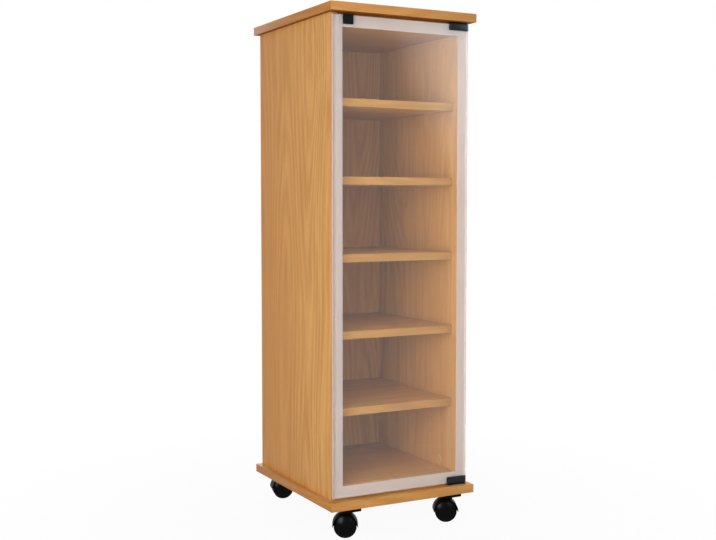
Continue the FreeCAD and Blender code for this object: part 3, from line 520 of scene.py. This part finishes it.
# Painted shade: a darker copy of the tape for the fronts of the shelves, floor board and ceiling board,
# standing in for the shade inside the cabinet.
SHADED_INNER_TAPE = {Axis.X: EdgeTape("beech_tape_shelf", Axis.X, (188, 134, 68), (162, 109, 53), (181, 127, 63))}
RAW_HARDBOARD = PlainFinish("raw_hardboard", (168, 127, 84), (148, 109, 70),
                            grit=(75.0, 75.0, 75.0), roughness=0.7, relief=0.2, detail=8.0)
RAW_BEECH = PlainFinish("raw_beech", (214, 182, 138), (190, 156, 110),
                        grit=(300.0, 300.0, 30.0), roughness=0.6)
CLEAR_GLASS = PaneGlass("clear_glass")
SATIN_GLASS = PaneGlass("satin_glass", (216, 204, 202), (216, 204, 202), transmission=0.5, roughness=0.5)
EDGE_GLASS = PaneGlass("ground_glass_edge", (196, 180, 166), (196, 180, 166), transmission=0.0, roughness=0.4)
HINGE_BLACK = BlackSkin("hinge_coating", (3, 8, 17), (10, 19, 33), roughness=0.22, specular=0.24, relief=0.01)
CLIP_BLACK = BlackSkin("clip_coating", (8, 8, 10), (16, 17, 20), roughness=0.45, specular=0.07)
HOOD_BLACK = BlackSkin("hood_moulding", (2, 2, 3), (6, 6, 8), roughness=0.4, relief=0.03, specular=0.035)
WHEEL_BLACK = BlackSkin("wheel_polish", (2, 2, 3), (5, 5, 7), roughness=0.2, scale=300.0,
                        variation=0.05, relief=0.004, specular=0.06)
BUSH_BLACK = BlackSkin("bush_moulding", roughness=0.5)
RUBBER_BLACK = BlackSkin("rubber_black", (18, 18, 18), (34, 34, 34), roughness=0.72, specular=0.3)
ZINC = PlainFinish("zinc_plate", (186, 188, 192), (150, 152, 158), roughness=0.3, metallic=1.0)
DIE_CAST = PlainFinish("die_cast_zinc", (160, 162, 166), (128, 130, 136), roughness=0.42,
                       metallic=1.0, grit=FINE_GRIT)
FERRITE = PlainFinish("ferrite", (52, 52, 54), (36, 36, 38), roughness=0.6)
CAP_TAN = PlainFinish("cap_tan", (204, 150, 88), (194, 138, 78), roughness=0.45, grit=FINE_GRIT)
CATCH_BROWN = PlainFinish("catch_brown", (122, 84, 52), (108, 72, 42), roughness=0.45, grit=FINE_GRIT)
BUFFER_CLEAR = PlainFinish("buffer_gel", (236, 238, 234), (224, 228, 224), roughness=0.25, transmission=0.6)


def along(bm: Mesh, axis: Axis) -> list[Line]:
    """Returns the edges of a mesh that run along an axis."""
    return [e for e in bm.edges if abs((e.verts[0].co - e.verts[1].co)[axis.value]) > MM]


def lies_at(edge: Line, axis: int, place: float) -> bool:
    """Tells whether an edge lies in the plane across an axis at a place."""
    return all(abs(vert.co[axis] - place) < TOUCH for vert in edge.verts)


def bevel(bm: Mesh, edges: list[Line], width: float, segments: int, clamp: bool = False) -> None:
    """Rounds edges of a mesh."""
    bmesh.ops.bevel(bm, geom=edges, offset=width, segments=segments, profile=0.5, affect="EDGES",
                    material=-1, clamp_overlap=clamp)


def round_sharp(bm: Mesh, width: float, segments: int, angle: float) -> None:
    """Rounds every edge of a mesh whose faces meet more sharply than the angle, in degrees."""
    pairs = [edge for edge in bm.edges if len(edge.link_faces) == 2]
    bevel(bm, [e for e in pairs if e.calc_face_angle() > math.radians(angle)], width, segments, True)


def add_block(bm: Mesh, low: Vector, high: Vector, rounding: float = 0.0, segments: int = 2,
              finish: int = 0) -> list[bmesh.types.BMFace]:
    """Adds a block.

    Args:
        bm: the mesh that it goes to.
        low: its lowest corner.
        high: its highest corner.
        rounding: the width of its rounded edges, or 0 for sharp ones.
        segments: the steps of each rounded edge.
        finish: the number of its finish.

    Returns:
        The block's faces.
    """
    before = set(bm.faces)
    verts = bmesh.ops.create_cube(bm, size=1.0)["verts"]
    bmesh.ops.scale(bm, vec=high - low, verts=verts)
    bmesh.ops.translate(bm, vec=(low + high) / 2, verts=verts)
    if rounding:
        bevel(bm, list(dict.fromkeys(edge for vert in verts for edge in vert.link_edges)), rounding, segments)
    faces = [face for face in bm.faces if face not in before]
    for face in faces:
        face.material_index = finish
    return faces


def add_turned(bm: Mesh, outline: Outline, place: Matrix, steps: int, rounding: float = 0.0) -> None:
    """Adds a piece turned round its Z axis.

    Args:
        bm: the mesh that it goes to.
        outline: its radii and heights, from one end of the axis to the other.
        place: moves it from its own axis into the row frame.
        steps: the number of steps round the axis.
        rounding: the width to which its sharp rings are rounded.
    """
    part = bmesh.new()
    verts = [part.verts.new((radius, 0.0, height)) for radius, height in outline]
    edges = [part.edges.new(pair) for pair in zip(verts, verts[1:])]
    bmesh.ops.spin(part, geom=verts + edges, cent=(0, 0, 0), axis=UP, angle=math.tau, steps=steps,
                   use_merge=True, use_duplicate=False)
    bmesh.ops.remove_doubles(part, verts=part.verts, dist=TOUCH)
    bmesh.ops.recalc_face_normals(part, faces=part.faces)
    if rounding:
        round_sharp(part, rounding, 3, 28)
    merge_into(bm, part, place)


def add_countersink(cutter: Mesh, spot: Vector, outward: int, radius: float) -> None:
    """Adds the cone of a screw's head, which opens upwards (1) or downwards (-1), to a cutter."""
    cone = [(0.0, -SCREW_HEAD_DEPTH), (radius / 2, -SCREW_HEAD_DEPTH), (radius, 0.0), (radius, MM), (0.0, MM)]
    add_turned(cutter, cone, to_axis(spot, UP * outward), 24)


def merge_into(bm: Mesh, part: Mesh, place: Matrix) -> None:
    """Moves a finished part into place and into a mesh, and frees it.

    Args:
        bm: the mesh that it goes to.
        part: the part, on its own axis.
        place: moves it into the row frame.
    """
    bmesh.ops.transform(part, matrix=place, verts=part.verts)
    carrier = bpy.data.meshes.new("carrier")
    part.to_mesh(carrier)
    part.free()
    bm.from_mesh(carrier)
    bpy.data.meshes.remove(carrier)


def arc(x: float, y: float, radius: float, start: float, end: float, steps: int) -> Outline:
    """Returns the points of an arc round a point of an outline, from one angle to another."""
    angles = [start + (end - start) * k / steps for k in range(steps + 1)]
    return [(x + radius * math.cos(angle), y + radius * math.sin(angle)) for angle in angles]


def make_object(name: str, bm: Mesh) -> bpy.types.Object:
    """Puts a finished mesh into the scene.

    Args:
        name: the object's name.
        bm: its mesh, which is freed.

    Returns:
        The object.
    """
    mesh = bpy.data.meshes.new(name)
    bm.to_mesh(mesh)
    bm.free()
    made = bpy.data.objects.new(name, mesh)
    bpy.context.scene.collection.objects.link(made)
    return made


def carve(bm: Mesh, cutter: Mesh) -> Mesh:
    """Cuts closed shapes out of a mesh that is one closed shape itself.

    Args:
        bm: the mesh, which is freed.
        cutter: the shapes, which are freed.

    Returns:
        The carved mesh.
    """
    whole = make_object("whole", bm)
    tool = make_object("tool", cutter)
    step = whole.modifiers.new("carve", "BOOLEAN")
    step.object = tool
    step.operation = "DIFFERENCE"
    step.solver = "EXACT"
    bpy.context.view_layer.update()
    carved = bmesh.new()
    carved.from_object(whole, bpy.context.evaluated_depsgraph_get())
    for made in (whole, tool):
        mesh = made.data
        bpy.data.objects.remove(made)
        bpy.data.meshes.remove(mesh)
    return carved


def to_axis(centre: Vector, axis: Vector) -> Matrix:
    """Returns the move from the Z axis to an axis through a centre."""
    return Matrix.Translation(centre) @ axis.to_track_quat("Z", "Y").to_matrix().to_4x4()


def insets(node: str, inset: float) -> list[tuple[float, float]]:
    """Returns the two places on each axis that lie inside a node's box by an inset."""
    return [(low + inset, high - inset) for low, high in zip(*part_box(node))]


def joint(name: str) -> dict:
    """Returns the frame's joint of that name."""
    return next(entry for entry in frame["joints"] if entry["name"] == name)


@dataclass
class SubAssembly:
    """Pieces of the cabinet that are built and dressed together, on one body."""

    body: str
    smooth_angle: float = 32.0

    def piece(self, name: str, bm: Mesh, finishes: list[Finish], slot: str, node: str) -> None:
        """Turns a finished mesh into a piece of the cabinet.

        Args:
            name: the piece's name.
            bm: its mesh in the row frame, which is freed.
            finishes: its finishes, in the order of the faces' numbers.
            slot: the record's material slot; not used.
            node: the frame's node that it stands for.
        """
        made = make_object(name, bm)
        for finish in finishes:
            made.data.materials.append(finish.material())
        made.data.shade_smooth()
        made.data.set_sharp_from_angle(angle=math.radians(self.smooth_angle))
        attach(made, self.body)
        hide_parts(node)
        LOG.info("%s: %d faces on %s", name, len(made.data.polygons), self.body)

    @staticmethod
    def dress(finish: Finish, *nodes: str) -> None:
        """Gives nodes of the frame, whose shape is right, their finish.

        Args:
            finish: the finish.
            nodes: the nodes.
        """
        for node in nodes:
            mesh = frame["nodes"][node].data
            mesh.materials.clear()
            mesh.materials.append(finish.material())
            LOG.info("%s: dressed in %s", node, finish.name)


@dataclass
class BoardPlan:
    """One board: its node, the way its grain runs, the edges with tape, the tape and the darker finish below,
    which paints the shade under it.
    """

    node: str
    grain: Axis
    taped: tuple[Edge, ...]
    tape: dict[Axis, BeechFoil]
    # A darker foil for the downward faces, which paints their shade.
    below: BeechFoil | None = None


@dataclass
class Carcass(SubAssembly):
    """Boards, back panel, joinery and buffers."""

    body: str = "cabinet"
    tape_thick: float = 0.7 * MM
    foil_rounding: float = 0.15 * MM
    tape_rounding: float = 0.45 * MM
    sheet_rounding: float = 0.1 * MM
    screw_head_radius: float = 3.5 * MM
    notch_play: float = 0.05 * MM
    peg_in_shelf: float = 8.0 * MM
    pin_radius: float = 2.5 * MM
    cap_radius: float = 8.5 * MM
    cap_thick: float = 1.0 * MM

    def build(self) -> None:
        """Builds every board and dresses the fittings."""
        for node in ("top_panel", "base_panel"):
            # The top and base panels get the darker underside foil, which is painted shade.
            self.board(BoardPlan(node, Axis.X, tuple(Edge), TAPE, SHADED_UNDERSIDE_FOIL))
        for node in ("side_panel_left", "side_panel_right"):
            self.board(BoardPlan(node, Axis.Z, (Edge.FRONT, Edge.BACK), TAPE))
        recesses = {
            "floor_board": self.countersinks(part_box("floor_board")[1].z, 1),
            "ceiling_board": self.countersinks(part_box("ceiling_board")[0].z, -1),
        }
        for node in (f"shelf_{number}" for number in range(1, 6)):
            recesses[node] = self.notches(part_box(node)[0].z)
        for node, cutter in recesses.items():
            # The inner boards take the darker tape, which is painted shade.
            self.board(BoardPlan(node, Axis.X, (Edge.FRONT,), SHADED_INNER_TAPE), cutter)
        self.back_panel()
        self.caps()
        self.buffers()
        self.dress(ZINC, "shelf_pins", "cam_bolts", "board_screws", "caster_screws")
        self.dress(DIE_CAST, "cam_discs")
        self.dress(RAW_BEECH, "dowels")

    def board(self, plan: BoardPlan, cutter: Mesh | None = None) -> None:
        """Builds a board: a foiled core with tape on the edges that the plan names.

        Args:
            plan: the board's plan.
            cutter: the recesses in its core.
        """
        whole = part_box(plan.node)
        core = [corner.copy() for corner in whole]
        for edge in plan.taped:
            axis, side = edge.value
            core[side > 0][axis] -= side * self.tape_thick
        bm = bmesh.new()
        finishes: list[Finish] = [FOIL[plan.grain]]
        foiled = add_block(bm, *core, self.foil_rounding, 1)
        # Painted shade: faces that look down take the darker underside foil.
        if plan.below:
            finishes.append(plan.below)
            for face in foiled:
                face.material_index = int(face.normal.z < -0.5)
        if cutter:
            bm = carve(bm, cutter)
        for edge in plan.taped:
            axis, side = edge.value
            low, high = (corner.copy() for corner in (whole if axis == Axis.Y.value else core))
            low[axis] = core[1][axis] if side > 0 else whole[0][axis]
            high[axis] = whole[1][axis] if side > 0 else core[0][axis]
            longest = max((high[k] - low[k], k) for k in range(3))[1]
            strip = plan.tape[Axis(longest)]
            if strip not in finishes:
                finishes.append(strip)
            self.tape(bm, low, high, edge, finishes.index(strip))
        self.piece(f"{plan.node}_board", bm, finishes, "beech_board", plan.node)

    def tape(self, bm: Mesh, low: Vector, high: Vector, edge: Edge, finish: int) -> None:
        """Adds a strip of tape whose outer edges are rounded.

        Args:
            bm: the board's mesh.
            low: the strip's lowest corner.
            high: its highest corner.
            edge: the board's edge that it is on.
            finish: the number of its finish.
        """
        axis, side = edge.value
        outer = high[axis] if side > 0 else low[axis]
        faces = add_block(bm, low, high, finish=finish)
        edges = dict.fromkeys(line for face in faces for line in face.edges)
        bevel(bm, [line for line in edges if lies_at(line, axis, outer)], self.tape_rounding, 3)

    def countersinks(self, face: float, outward: int) -> Mesh:
        """Makes a cone for each board screw, whose place is read from the screws' node.

        Args:
            face: the height of the board's face.
            outward: 1 where the face looks up, -1 where it looks down.

        Returns:
            The cones.
        """
        radius = self.screw_head_radius
        cutter = bmesh.new()
        for x, y in product(*insets("board_screws", radius)[:2]):
            add_countersink(cutter, Vector((x, y, face)), outward, radius)
        return cutter

    def notches(self, under: float) -> Mesh:
        """Makes the four notches of a shelf that rests on its shelf pins.

        Args:
            under: the height of the shelf's underside.

        Returns:
            The notches.
        """
        left, right = (corner.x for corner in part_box("shelf_1"))
        half = self.pin_radius + self.notch_play
        reach = self.peg_in_shelf
        cutter = bmesh.new()
        for y in insets("shelf_pins", self.pin_radius)[1]:
            for start, end in ((left - MM, left + reach), (right - reach, right + MM)):
                add_block(cutter, Vector((start, y - half, under - MM)),
                          Vector((end, y + half, under + 2 * half)))
        return cutter

    def back_panel(self) -> None:
        """Builds the back panel: printed on the side of the compartments, raw at the rear."""
        bm = bmesh.new()
        for face in add_block(bm, *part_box("back_panel"), self.sheet_rounding, 1):
            face.material_index = int(face.normal.y > 0.5)
        self.piece("back_panel_sheet", bm, [FOIL[Axis.Z], RAW_HARDBOARD], "hardboard", "back_panel")

    def caps(self) -> None:
        """Builds the caps over the cam discs, four on the inner face of each side panel."""
        inner_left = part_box("side_panel_left")[1].x
        radius = self.cap_radius
        thick = self.cap_thick
        outline = [(0.0, 0.0), (radius, 0.0), (radius, thick / 2), (radius - thick / 2, thick), (0.0, thick)]
        bm = bmesh.new()
        for sign, y, z in product((-1, 1), *insets("cam_caps", radius)[1:]):
            spot = Vector((-inner_left * sign, y, z))
            add_turned(bm, outline, to_axis(spot, Vector((-sign, 0, 0))), 32)
        self.piece("cam_cover_caps", bm, [CAP_TAN], "cap_plastic", "cam_caps")

    def buffers(self) -> None:
        """Builds the two clear buffers that the shut door rests on."""
        low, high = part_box("door_buffers")
        radius = (high.x - low.x) / 2
        thick = high.y - low.y
        rise = thick * 2 / 3
        ball = (radius ** 2 + rise ** 2) / (2 * rise)
        reach = math.asin(radius / ball)
        dome = arc(0.0, thick - ball, ball, math.pi / 2 - reach, math.pi / 2, 6)
        outline = [(0.0, 0.0), (radius, 0.0), *dome[:-1], (0.0, thick)]
        bm = bmesh.new()
        for z in insets("door_buffers", radius)[2]:
            spot = Vector(((low.x + high.x) / 2, high.y, z))
            add_turned(bm, outline, to_axis(spot, Vector((0, -1, 0))), 32)
        self.piece("door_rest_buffers", bm, [BUFFER_CLEAR], "buffer_clear", "door_buffers")


@dataclass
class Door(SubAssembly):
    """Glass pane with its satin border, corner hinges and the catch's clip."""

    body: str = "door"
    border: float = 21.5 * MM
    corner: float = 1.5 * MM
    arris: float = 0.5 * MM
    clamp_rounding: float = 0.9 * MM
    boss_rounding: float = 0.72 * MM
    boss_width: float = 20.0 * MM
    nose_share: float = 0.98
    clip_rounding: float = 0.5 * MM

    def build(self) -> None:
        """Builds the door's pieces and dresses its pins and pads."""
        self.pane()
        for end in ("bottom", "top"):
            self.clamp(end)
        self.clip()
        self.dress(ZINC, "pivot_pin_top", "pivot_pin_bottom", "clamp_screws")
        self.dress(RUBBER_BLACK, "clamp_pads", "clip_liner")

    def pane(self) -> None:
        """Builds the pane: rounded corners, ground edges and a satin border on its rear face."""
        low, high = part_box("glass_pane")
        bm = bmesh.new()
        add_block(bm, low, high)
        bevel(bm, along(bm, Axis.Y), self.corner, 4)
        round_sharp(bm, self.arris, 1, 80)
        inner_low = low + Vector((self.border, 0, self.border))
        inner_high = high - Vector((self.border, 0, self.border))
        for normal, spot in product(((1, 0, 0), (0, 0, 1)), (inner_low, inner_high)):
            everything = bm.verts[:] + bm.edges[:] + bm.faces[:]
            bmesh.ops.bisect_plane(bm, geom=everything, dist=TOUCH, plane_co=spot, plane_no=normal)
        for face in bm.faces:
            centre = face.calc_center_median()
            inside = inner_low.x < centre.x < inner_high.x and inner_low.z < centre.z < inner_high.z
            if abs(face.normal.y) < 0.9:
                face.material_index = 2
            elif face.normal.y > 0 and not inside:
                face.material_index = 1
        self.piece("glass_door_pane", bm, [CLEAR_GLASS, SATIN_GLASS, EDGE_GLASS], "door_glass", "glass_pane")

    def clamp(self, end: str) -> None:
        """Builds a hinge clamp: a U over the corner of the glass with a rounded pivot end.

        Args:
            end: "top" or "bottom".
        """
        low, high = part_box(f"hinge_clamp_{end}")
        glass_low, glass_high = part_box("glass_pane")
        pads_low, pads_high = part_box("clamp_pads")
        pivot = Vector(joint("door_hinge")["pos_m"])
        half = high.x - pivot.x
        rear = pivot.y + half
        bm = bmesh.new()
        add_block(bm, low, Vector((high.x, rear, high.z)))
        nose = [line for line in along(bm, Axis.Z) if lies_at(line, Axis.X.value, high.x)]
        bevel(bm, nose, half * self.nose_share, 8)
        round_sharp(bm, self.clamp_rounding, 3, 60)
        below = glass_low.z if end == "bottom" else low.z - MM
        above = high.z + MM if end == "bottom" else glass_high.z
        cutter = bmesh.new()
        add_block(cutter, Vector((low.x - MM, pads_low.y, below)), Vector((high.x + MM, pads_high.y, above)))
        bm = carve(bm, cutter)
        add_block(bm, Vector((low.x, rear - MM, low.z)), Vector((low.x + self.boss_width, high.y, high.z)),
                  self.boss_rounding, 3)
        self.piece(f"corner_hinge_{end}", bm, [HINGE_BLACK], "hinge_black", f"hinge_clamp_{end}")

    def clip(self) -> None:
        """Builds the spring clip over the top edge of the glass."""
        low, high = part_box("catch_clip")
        liner_low, liner_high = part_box("clip_liner")
        bm = bmesh.new()
        add_block(bm, low, high, self.clip_rounding, 3)
        cutter = bmesh.new()
        add_block(cutter, Vector((low.x - MM, liner_low.y, low.z - MM)),
                  Vector((high.x + MM, liner_high.y, liner_high.z)))
        self.piece("door_catch_clip", carve(bm, cutter), [CLIP_BLACK], "clip_black", "catch_clip")


@dataclass
class Catch(SubAssembly):
    """Magnetic catch under the top panel, and the pivot bushes."""

    body: str = "cabinet"
    rounding: float = 0.6 * MM
    pole_play: float = 0.1 * MM

    def build(self) -> None:
        """Builds the housing and dresses the magnet, its pole plates and the bushes."""
        self.housing()
        self.dress(ZINC, "pole_plates", "catch_screws")
        self.dress(FERRITE, "catch_magnet")
        self.dress(BUSH_BLACK, "pivot_bush_top", "pivot_bush_bottom")

    def housing(self) -> None:
        """Builds the housing with its pocket and the countersinks of its screws."""
        low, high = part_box("catch_housing")
        poles_low, poles_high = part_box("pole_plates")
        screws_low, screws_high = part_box("catch_screws")
        bm = bmesh.new()
        add_block(bm, low, high, self.rounding, 3)
        cutter = bmesh.new()
        play = Vector((1, 1, 1)) * self.pole_play
        add_block(cutter, poles_low - play, poles_high + play)
        radius = (screws_high.y - screws_low.y) / 2
        for x in insets("catch_screws", radius)[0]:
            spot = Vector((x, (screws_low.y + screws_high.y) / 2, low.z))
            add_countersink(cutter, spot, -1, radius)
        self.piece("catch_case", carve(bm, cutter), [CATCH_BROWN], "catch_plastic", "catch_housing")


@dataclass
class Caster:
    """One twin-wheel caster, turned the way its joints say."""

    corner: str
    fender_gap: float = 1.3 * MM
    fender_thick: float = 1.4 * MM
    hood_rounding: float = 0.5 * MM
    lobe_radius: float = 8.0 * MM
    boss_radius: float = 8.5 * MM
    plate_corner: float = 4.0 * MM
    plate_rounding: float = 0.8 * MM
    web_half: float = 5.5 * MM
    wheel_play: float = 0.4 * MM
    wheel_dome: float = 4.5 * MM
    tread_rounding: float = 1.2 * MM
    parting_line: float = 0.35 * MM
    dome_steps: int = 14

    def __post_init__(self) -> None:
        """Reads where the caster stands from the frame's joints."""
        spins = [Vector(joint(f"spin_{self.corner}_{number}")["pos_m"]) for number in (1, 2)]
        self.swivel = Vector(joint(f"swivel_{self.corner}")["pos_m"])
        self.axle = (spins[0] + spins[1]) / 2
        self.axis = Vector(joint(f"spin_{self.corner}_1")["axis"]).normalized()
        self.half_width = (self.axle - spins[0]).length * 2 - self.web_half - self.wheel_play

    def build(self) -> None:
        """Builds the plate, the hood and both wheels."""
        self.plate()
        self.hood()
        for number, sign in ((1, 1), (2, -1)):
            self.wheel(number, sign)
        SubAssembly.dress(ZINC, f"axle_{self.corner}")

    def plate(self) -> None:
        """Builds the square plate with rounded corners."""
        node = f"caster_plate_{self.corner}"
        bm = bmesh.new()
        add_block(bm, *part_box(node))
        bevel(bm, along(bm, Axis.Z), self.plate_corner, 6)
        round_sharp(bm, self.plate_rounding, 3, 60)
        SubAssembly("cabinet").piece(f"swivel_plate_{self.corner}", bm, [HOOD_BLACK], "caster_black", node)

    def hood(self) -> None:
        """Builds the hood: a fender over both wheels, the web between them and the boss."""
        node = f"hood_{self.corner}"
        inner = self.axle.z + self.fender_gap
        web = self.web_half
        bm = bmesh.new()
        self.half_ring(bm, inner, inner + self.fender_thick, self.half_width)
        self.half_ring(bm, 0.0, inner + MM, web)
        lobe = [(0.0, -web), (self.lobe_radius, -web), (self.lobe_radius, web), (0.0, web)]
        add_turned(bm, lobe, to_axis(self.axle, self.axis), 40, self.hood_rounding)
        foot = self.axle.z + inner / 2
        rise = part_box(node)[1].z - foot
        boss = [(0.0, 0.0), (self.boss_radius, 0.0), (self.boss_radius, rise), (0.0, rise)]
        add_turned(bm, boss, to_axis(Vector((*self.swivel.xy, foot)), UP), 40, self.hood_rounding)
        turning = SubAssembly(f"caster_{self.corner}")
        turning.piece(f"caster_hood_{self.corner}", bm, [HOOD_BLACK], "caster_black", node)

    def half_ring(self, bm: Mesh, inner: float, outer: float, half: float) -> None:
        """Adds a half ring over the axle, with rounded edges.

        Args:
            bm: the hood's mesh.
            inner: its inner radius.
            outer: its outer radius.
            half: half its width.
        """
        section = [(inner, -half), (outer, -half), (outer, half), (inner, half)]
        part = bmesh.new()
        face = part.faces.new([part.verts.new((radius, 0.0, side)) for radius, side in section])
        local_up = to_axis(Vector(), self.axis).inverted() @ UP
        start = math.atan2(local_up.y, local_up.x) - math.pi / 2
        bmesh.ops.rotate(part, cent=(0, 0, 0), matrix=Matrix.Rotation(start, 3, "Z"), verts=part.verts)
        bmesh.ops.spin(part, geom=[face, *face.edges, *face.verts], cent=(0, 0, 0), axis=UP,
                       angle=math.pi, steps=40, use_merge=False, use_duplicate=False)
        bmesh.ops.remove_doubles(part, verts=part.verts, dist=TOUCH)
        bmesh.ops.recalc_face_normals(part, faces=part.faces)
        round_sharp(part, self.hood_rounding, 3, 50)
        merge_into(bm, part, to_axis(self.axle, self.axis))

    def wheel(self, number: int, sign: int) -> None:
        """Builds a domed wheel with a rounded tread and a fine parting line round its face.

        Args:
            number: the wheel's number.
            sign: the side of the axle that it is on, 1 or -1.
        """
        radius = self.axle.z
        inner = self.web_half + self.wheel_play
        thick = self.half_width - inner
        rim = thick - self.wheel_dome
        ball = (radius ** 2 + self.wheel_dome ** 2) / (2 * self.wheel_dome)
        tread = self.tread_rounding
        line = self.parting_line
        quarter = math.pi / 2
        outline = [(0.0, 0.0), *arc(radius - tread, tread, tread, -quarter, 0.0, 5),
                   *arc(radius - tread, rim - tread, tread, 0.0, quarter, 5),
                   (radius - tread - line, rim - line)]
        for k in range(self.dome_steps + 1):
            reach = (radius - tread - 2 * line) * (1 - k / self.dome_steps)
            outline.append((reach, thick - ball + math.sqrt(ball ** 2 - reach ** 2)))
        bm = bmesh.new()
        add_turned(bm, outline, to_axis(self.axle + self.axis * sign * inner, self.axis * sign), 64)
        name = f"wheel_{self.corner}_{number}"
        SubAssembly(name).piece(f"caster_{name}", bm, [WHEEL_BLACK], "wheel_black", name)


@dataclass
class Studio:
    """Camera of the photograph, soft light, and a pale floor."""

    camera_spot: Spot = (-1.05038, -1.96674, 0.62707)
    camera_aim: Spot = (-0.02093, -0.02720, 0.49155)
    lens: float = 55.56
    sensor: float = 36.0
    floor_reach: float = 14.0
    world_light: float = 0.34
    glare_side: Spot = (0.749, -0.629, 0.208)
    glare_edge: tuple[float, float] = (0.938, 0.966)
    glare_level: float = 3.6
    glare_tint: tuple[float, float, float, float] = (0.56, 0.84, 1.0, 1.0)

    def build(self) -> None:
        """Sets up the camera, the world, the lamps and the floor."""
        self.camera()
        self.world()
        self.lamp("key_softbox", (-1.34, -1.33, 0.70), (-0.1, -0.1, 0.68), (0.5, 1.14), 26.6)
        self.lamp("front_softbox", (0.1, -2.8, 1.1), (0.0, -0.1, 0.6), (1.1, 1.1), 9.0)
        self.lamp("rear_softbox", (0.3, 2.9, 1.5), (0.0, 0.1, 0.5), (1.4, 1.4), 34.0)
        self.lamp("side_softbox", (2.5, -0.3, 0.9), (0.15, 0.0, 0.5), (1.2, 1.2), 20.0)
        self.lamp("top_softbox", (0.4, 0.7, 2.6), (0.1, 0.1, 0.9), (1.0, 1.0), 18.0)
        self.floor()
        bpy.context.scene.view_settings.view_transform = "Standard"

    @staticmethod
    def stand(name: str, data: bpy.types.ID, spot: Spot, aim: Spot) -> bpy.types.Object:
        """Puts a camera or a lamp in its place.

        Args:
            name: its name.
            data: the camera or the lamp.
            spot: where it stands.
            aim: the point that it faces.

        Returns:
            Its object.
        """
        made = bpy.data.objects.new(name, data)
        made.location = spot
        made.rotation_euler = (Vector(aim) - Vector(spot)).to_track_quat("-Z", "Y").to_euler()
        bpy.context.scene.collection.objects.link(made)
        return made

    def camera(self) -> None:
        """Adds the camera where the photograph was taken from."""
        data = bpy.data.cameras.new("camera")
        data.lens = self.lens
        data.sensor_width = self.sensor
        data.sensor_fit = "HORIZONTAL"
        bpy.context.scene.camera = self.stand("camera", data, self.camera_spot, self.camera_aim)

    def lamp(self, name: str, spot: Spot, aim: Spot, size: tuple[float, float], power: float) -> None:
        """Adds a softbox.

        Args:
            name: its name.
            spot: its middle.
            aim: the point that it faces.
            size: its width and height.
            power: its power in watts.
        """
        data = bpy.data.lights.new(name, "AREA")
        data.shape = "RECTANGLE"
        data.size, data.size_y = size
        data.energy = power
        self.stand(name, data, spot, aim).visible_camera = False

    def world(self) -> None:
        """Lights the room evenly, white to the camera and with a bright side to glossy things."""
        world = bpy.data.worlds.new("studio")
        bpy.context.scene.world = world
        world.use_nodes = True
        world.node_tree.nodes.clear()
        tree = Tree(world.node_tree)
        plain = tree.ramp(tree.seen_directly(), 0.0, 1.0, self.world_light)
        way = tree.add("ShaderNodeTexCoord").outputs["Generated"]
        facing = tree.vector("DOT_PRODUCT", way, Vector(self.glare_side).normalized()).outputs["Value"]
        mirrored = tree.add("ShaderNodeLightPath").outputs["Is Glossy Ray"]
        glare = tree.math("MULTIPLY", mirrored, tree.ramp(facing, *self.glare_edge))
        strength = tree.math("MULTIPLY_ADD", glare, self.glare_level, plain)
        colour = tree.blend(glare, WHITE, self.glare_tint)
        back = tree.add("ShaderNodeBackground", {"Color": colour, "Strength": strength})
        tree.add("ShaderNodeOutputWorld", {"Surface": back.outputs[0]})

    def floor(self) -> None:
        """Adds the floor that the wheels stand on."""
        bm = bmesh.new()
        bmesh.ops.create_grid(bm, x_segments=1, y_segments=1, size=self.floor_reach)
        made = make_object("studio_floor", bm)
        made.data.materials.append(StudioFloor("studio_floor").material())


def main() -> None:
    """Builds and dresses the cabinet and its studio."""
    logging.basicConfig(level=logging.INFO, format="%(name)s: %(message)s")
    Studio().build()
    Carcass().build()
    Door().build()
    Catch().build()
    for corner in ("front_left", "front_right", "rear_left", "rear_right"):
        Caster(corner).build()
    SubAssembly.dress(ZINC, "kingpins", "kingpin_rings")


if __name__ == "__main__":
    main()
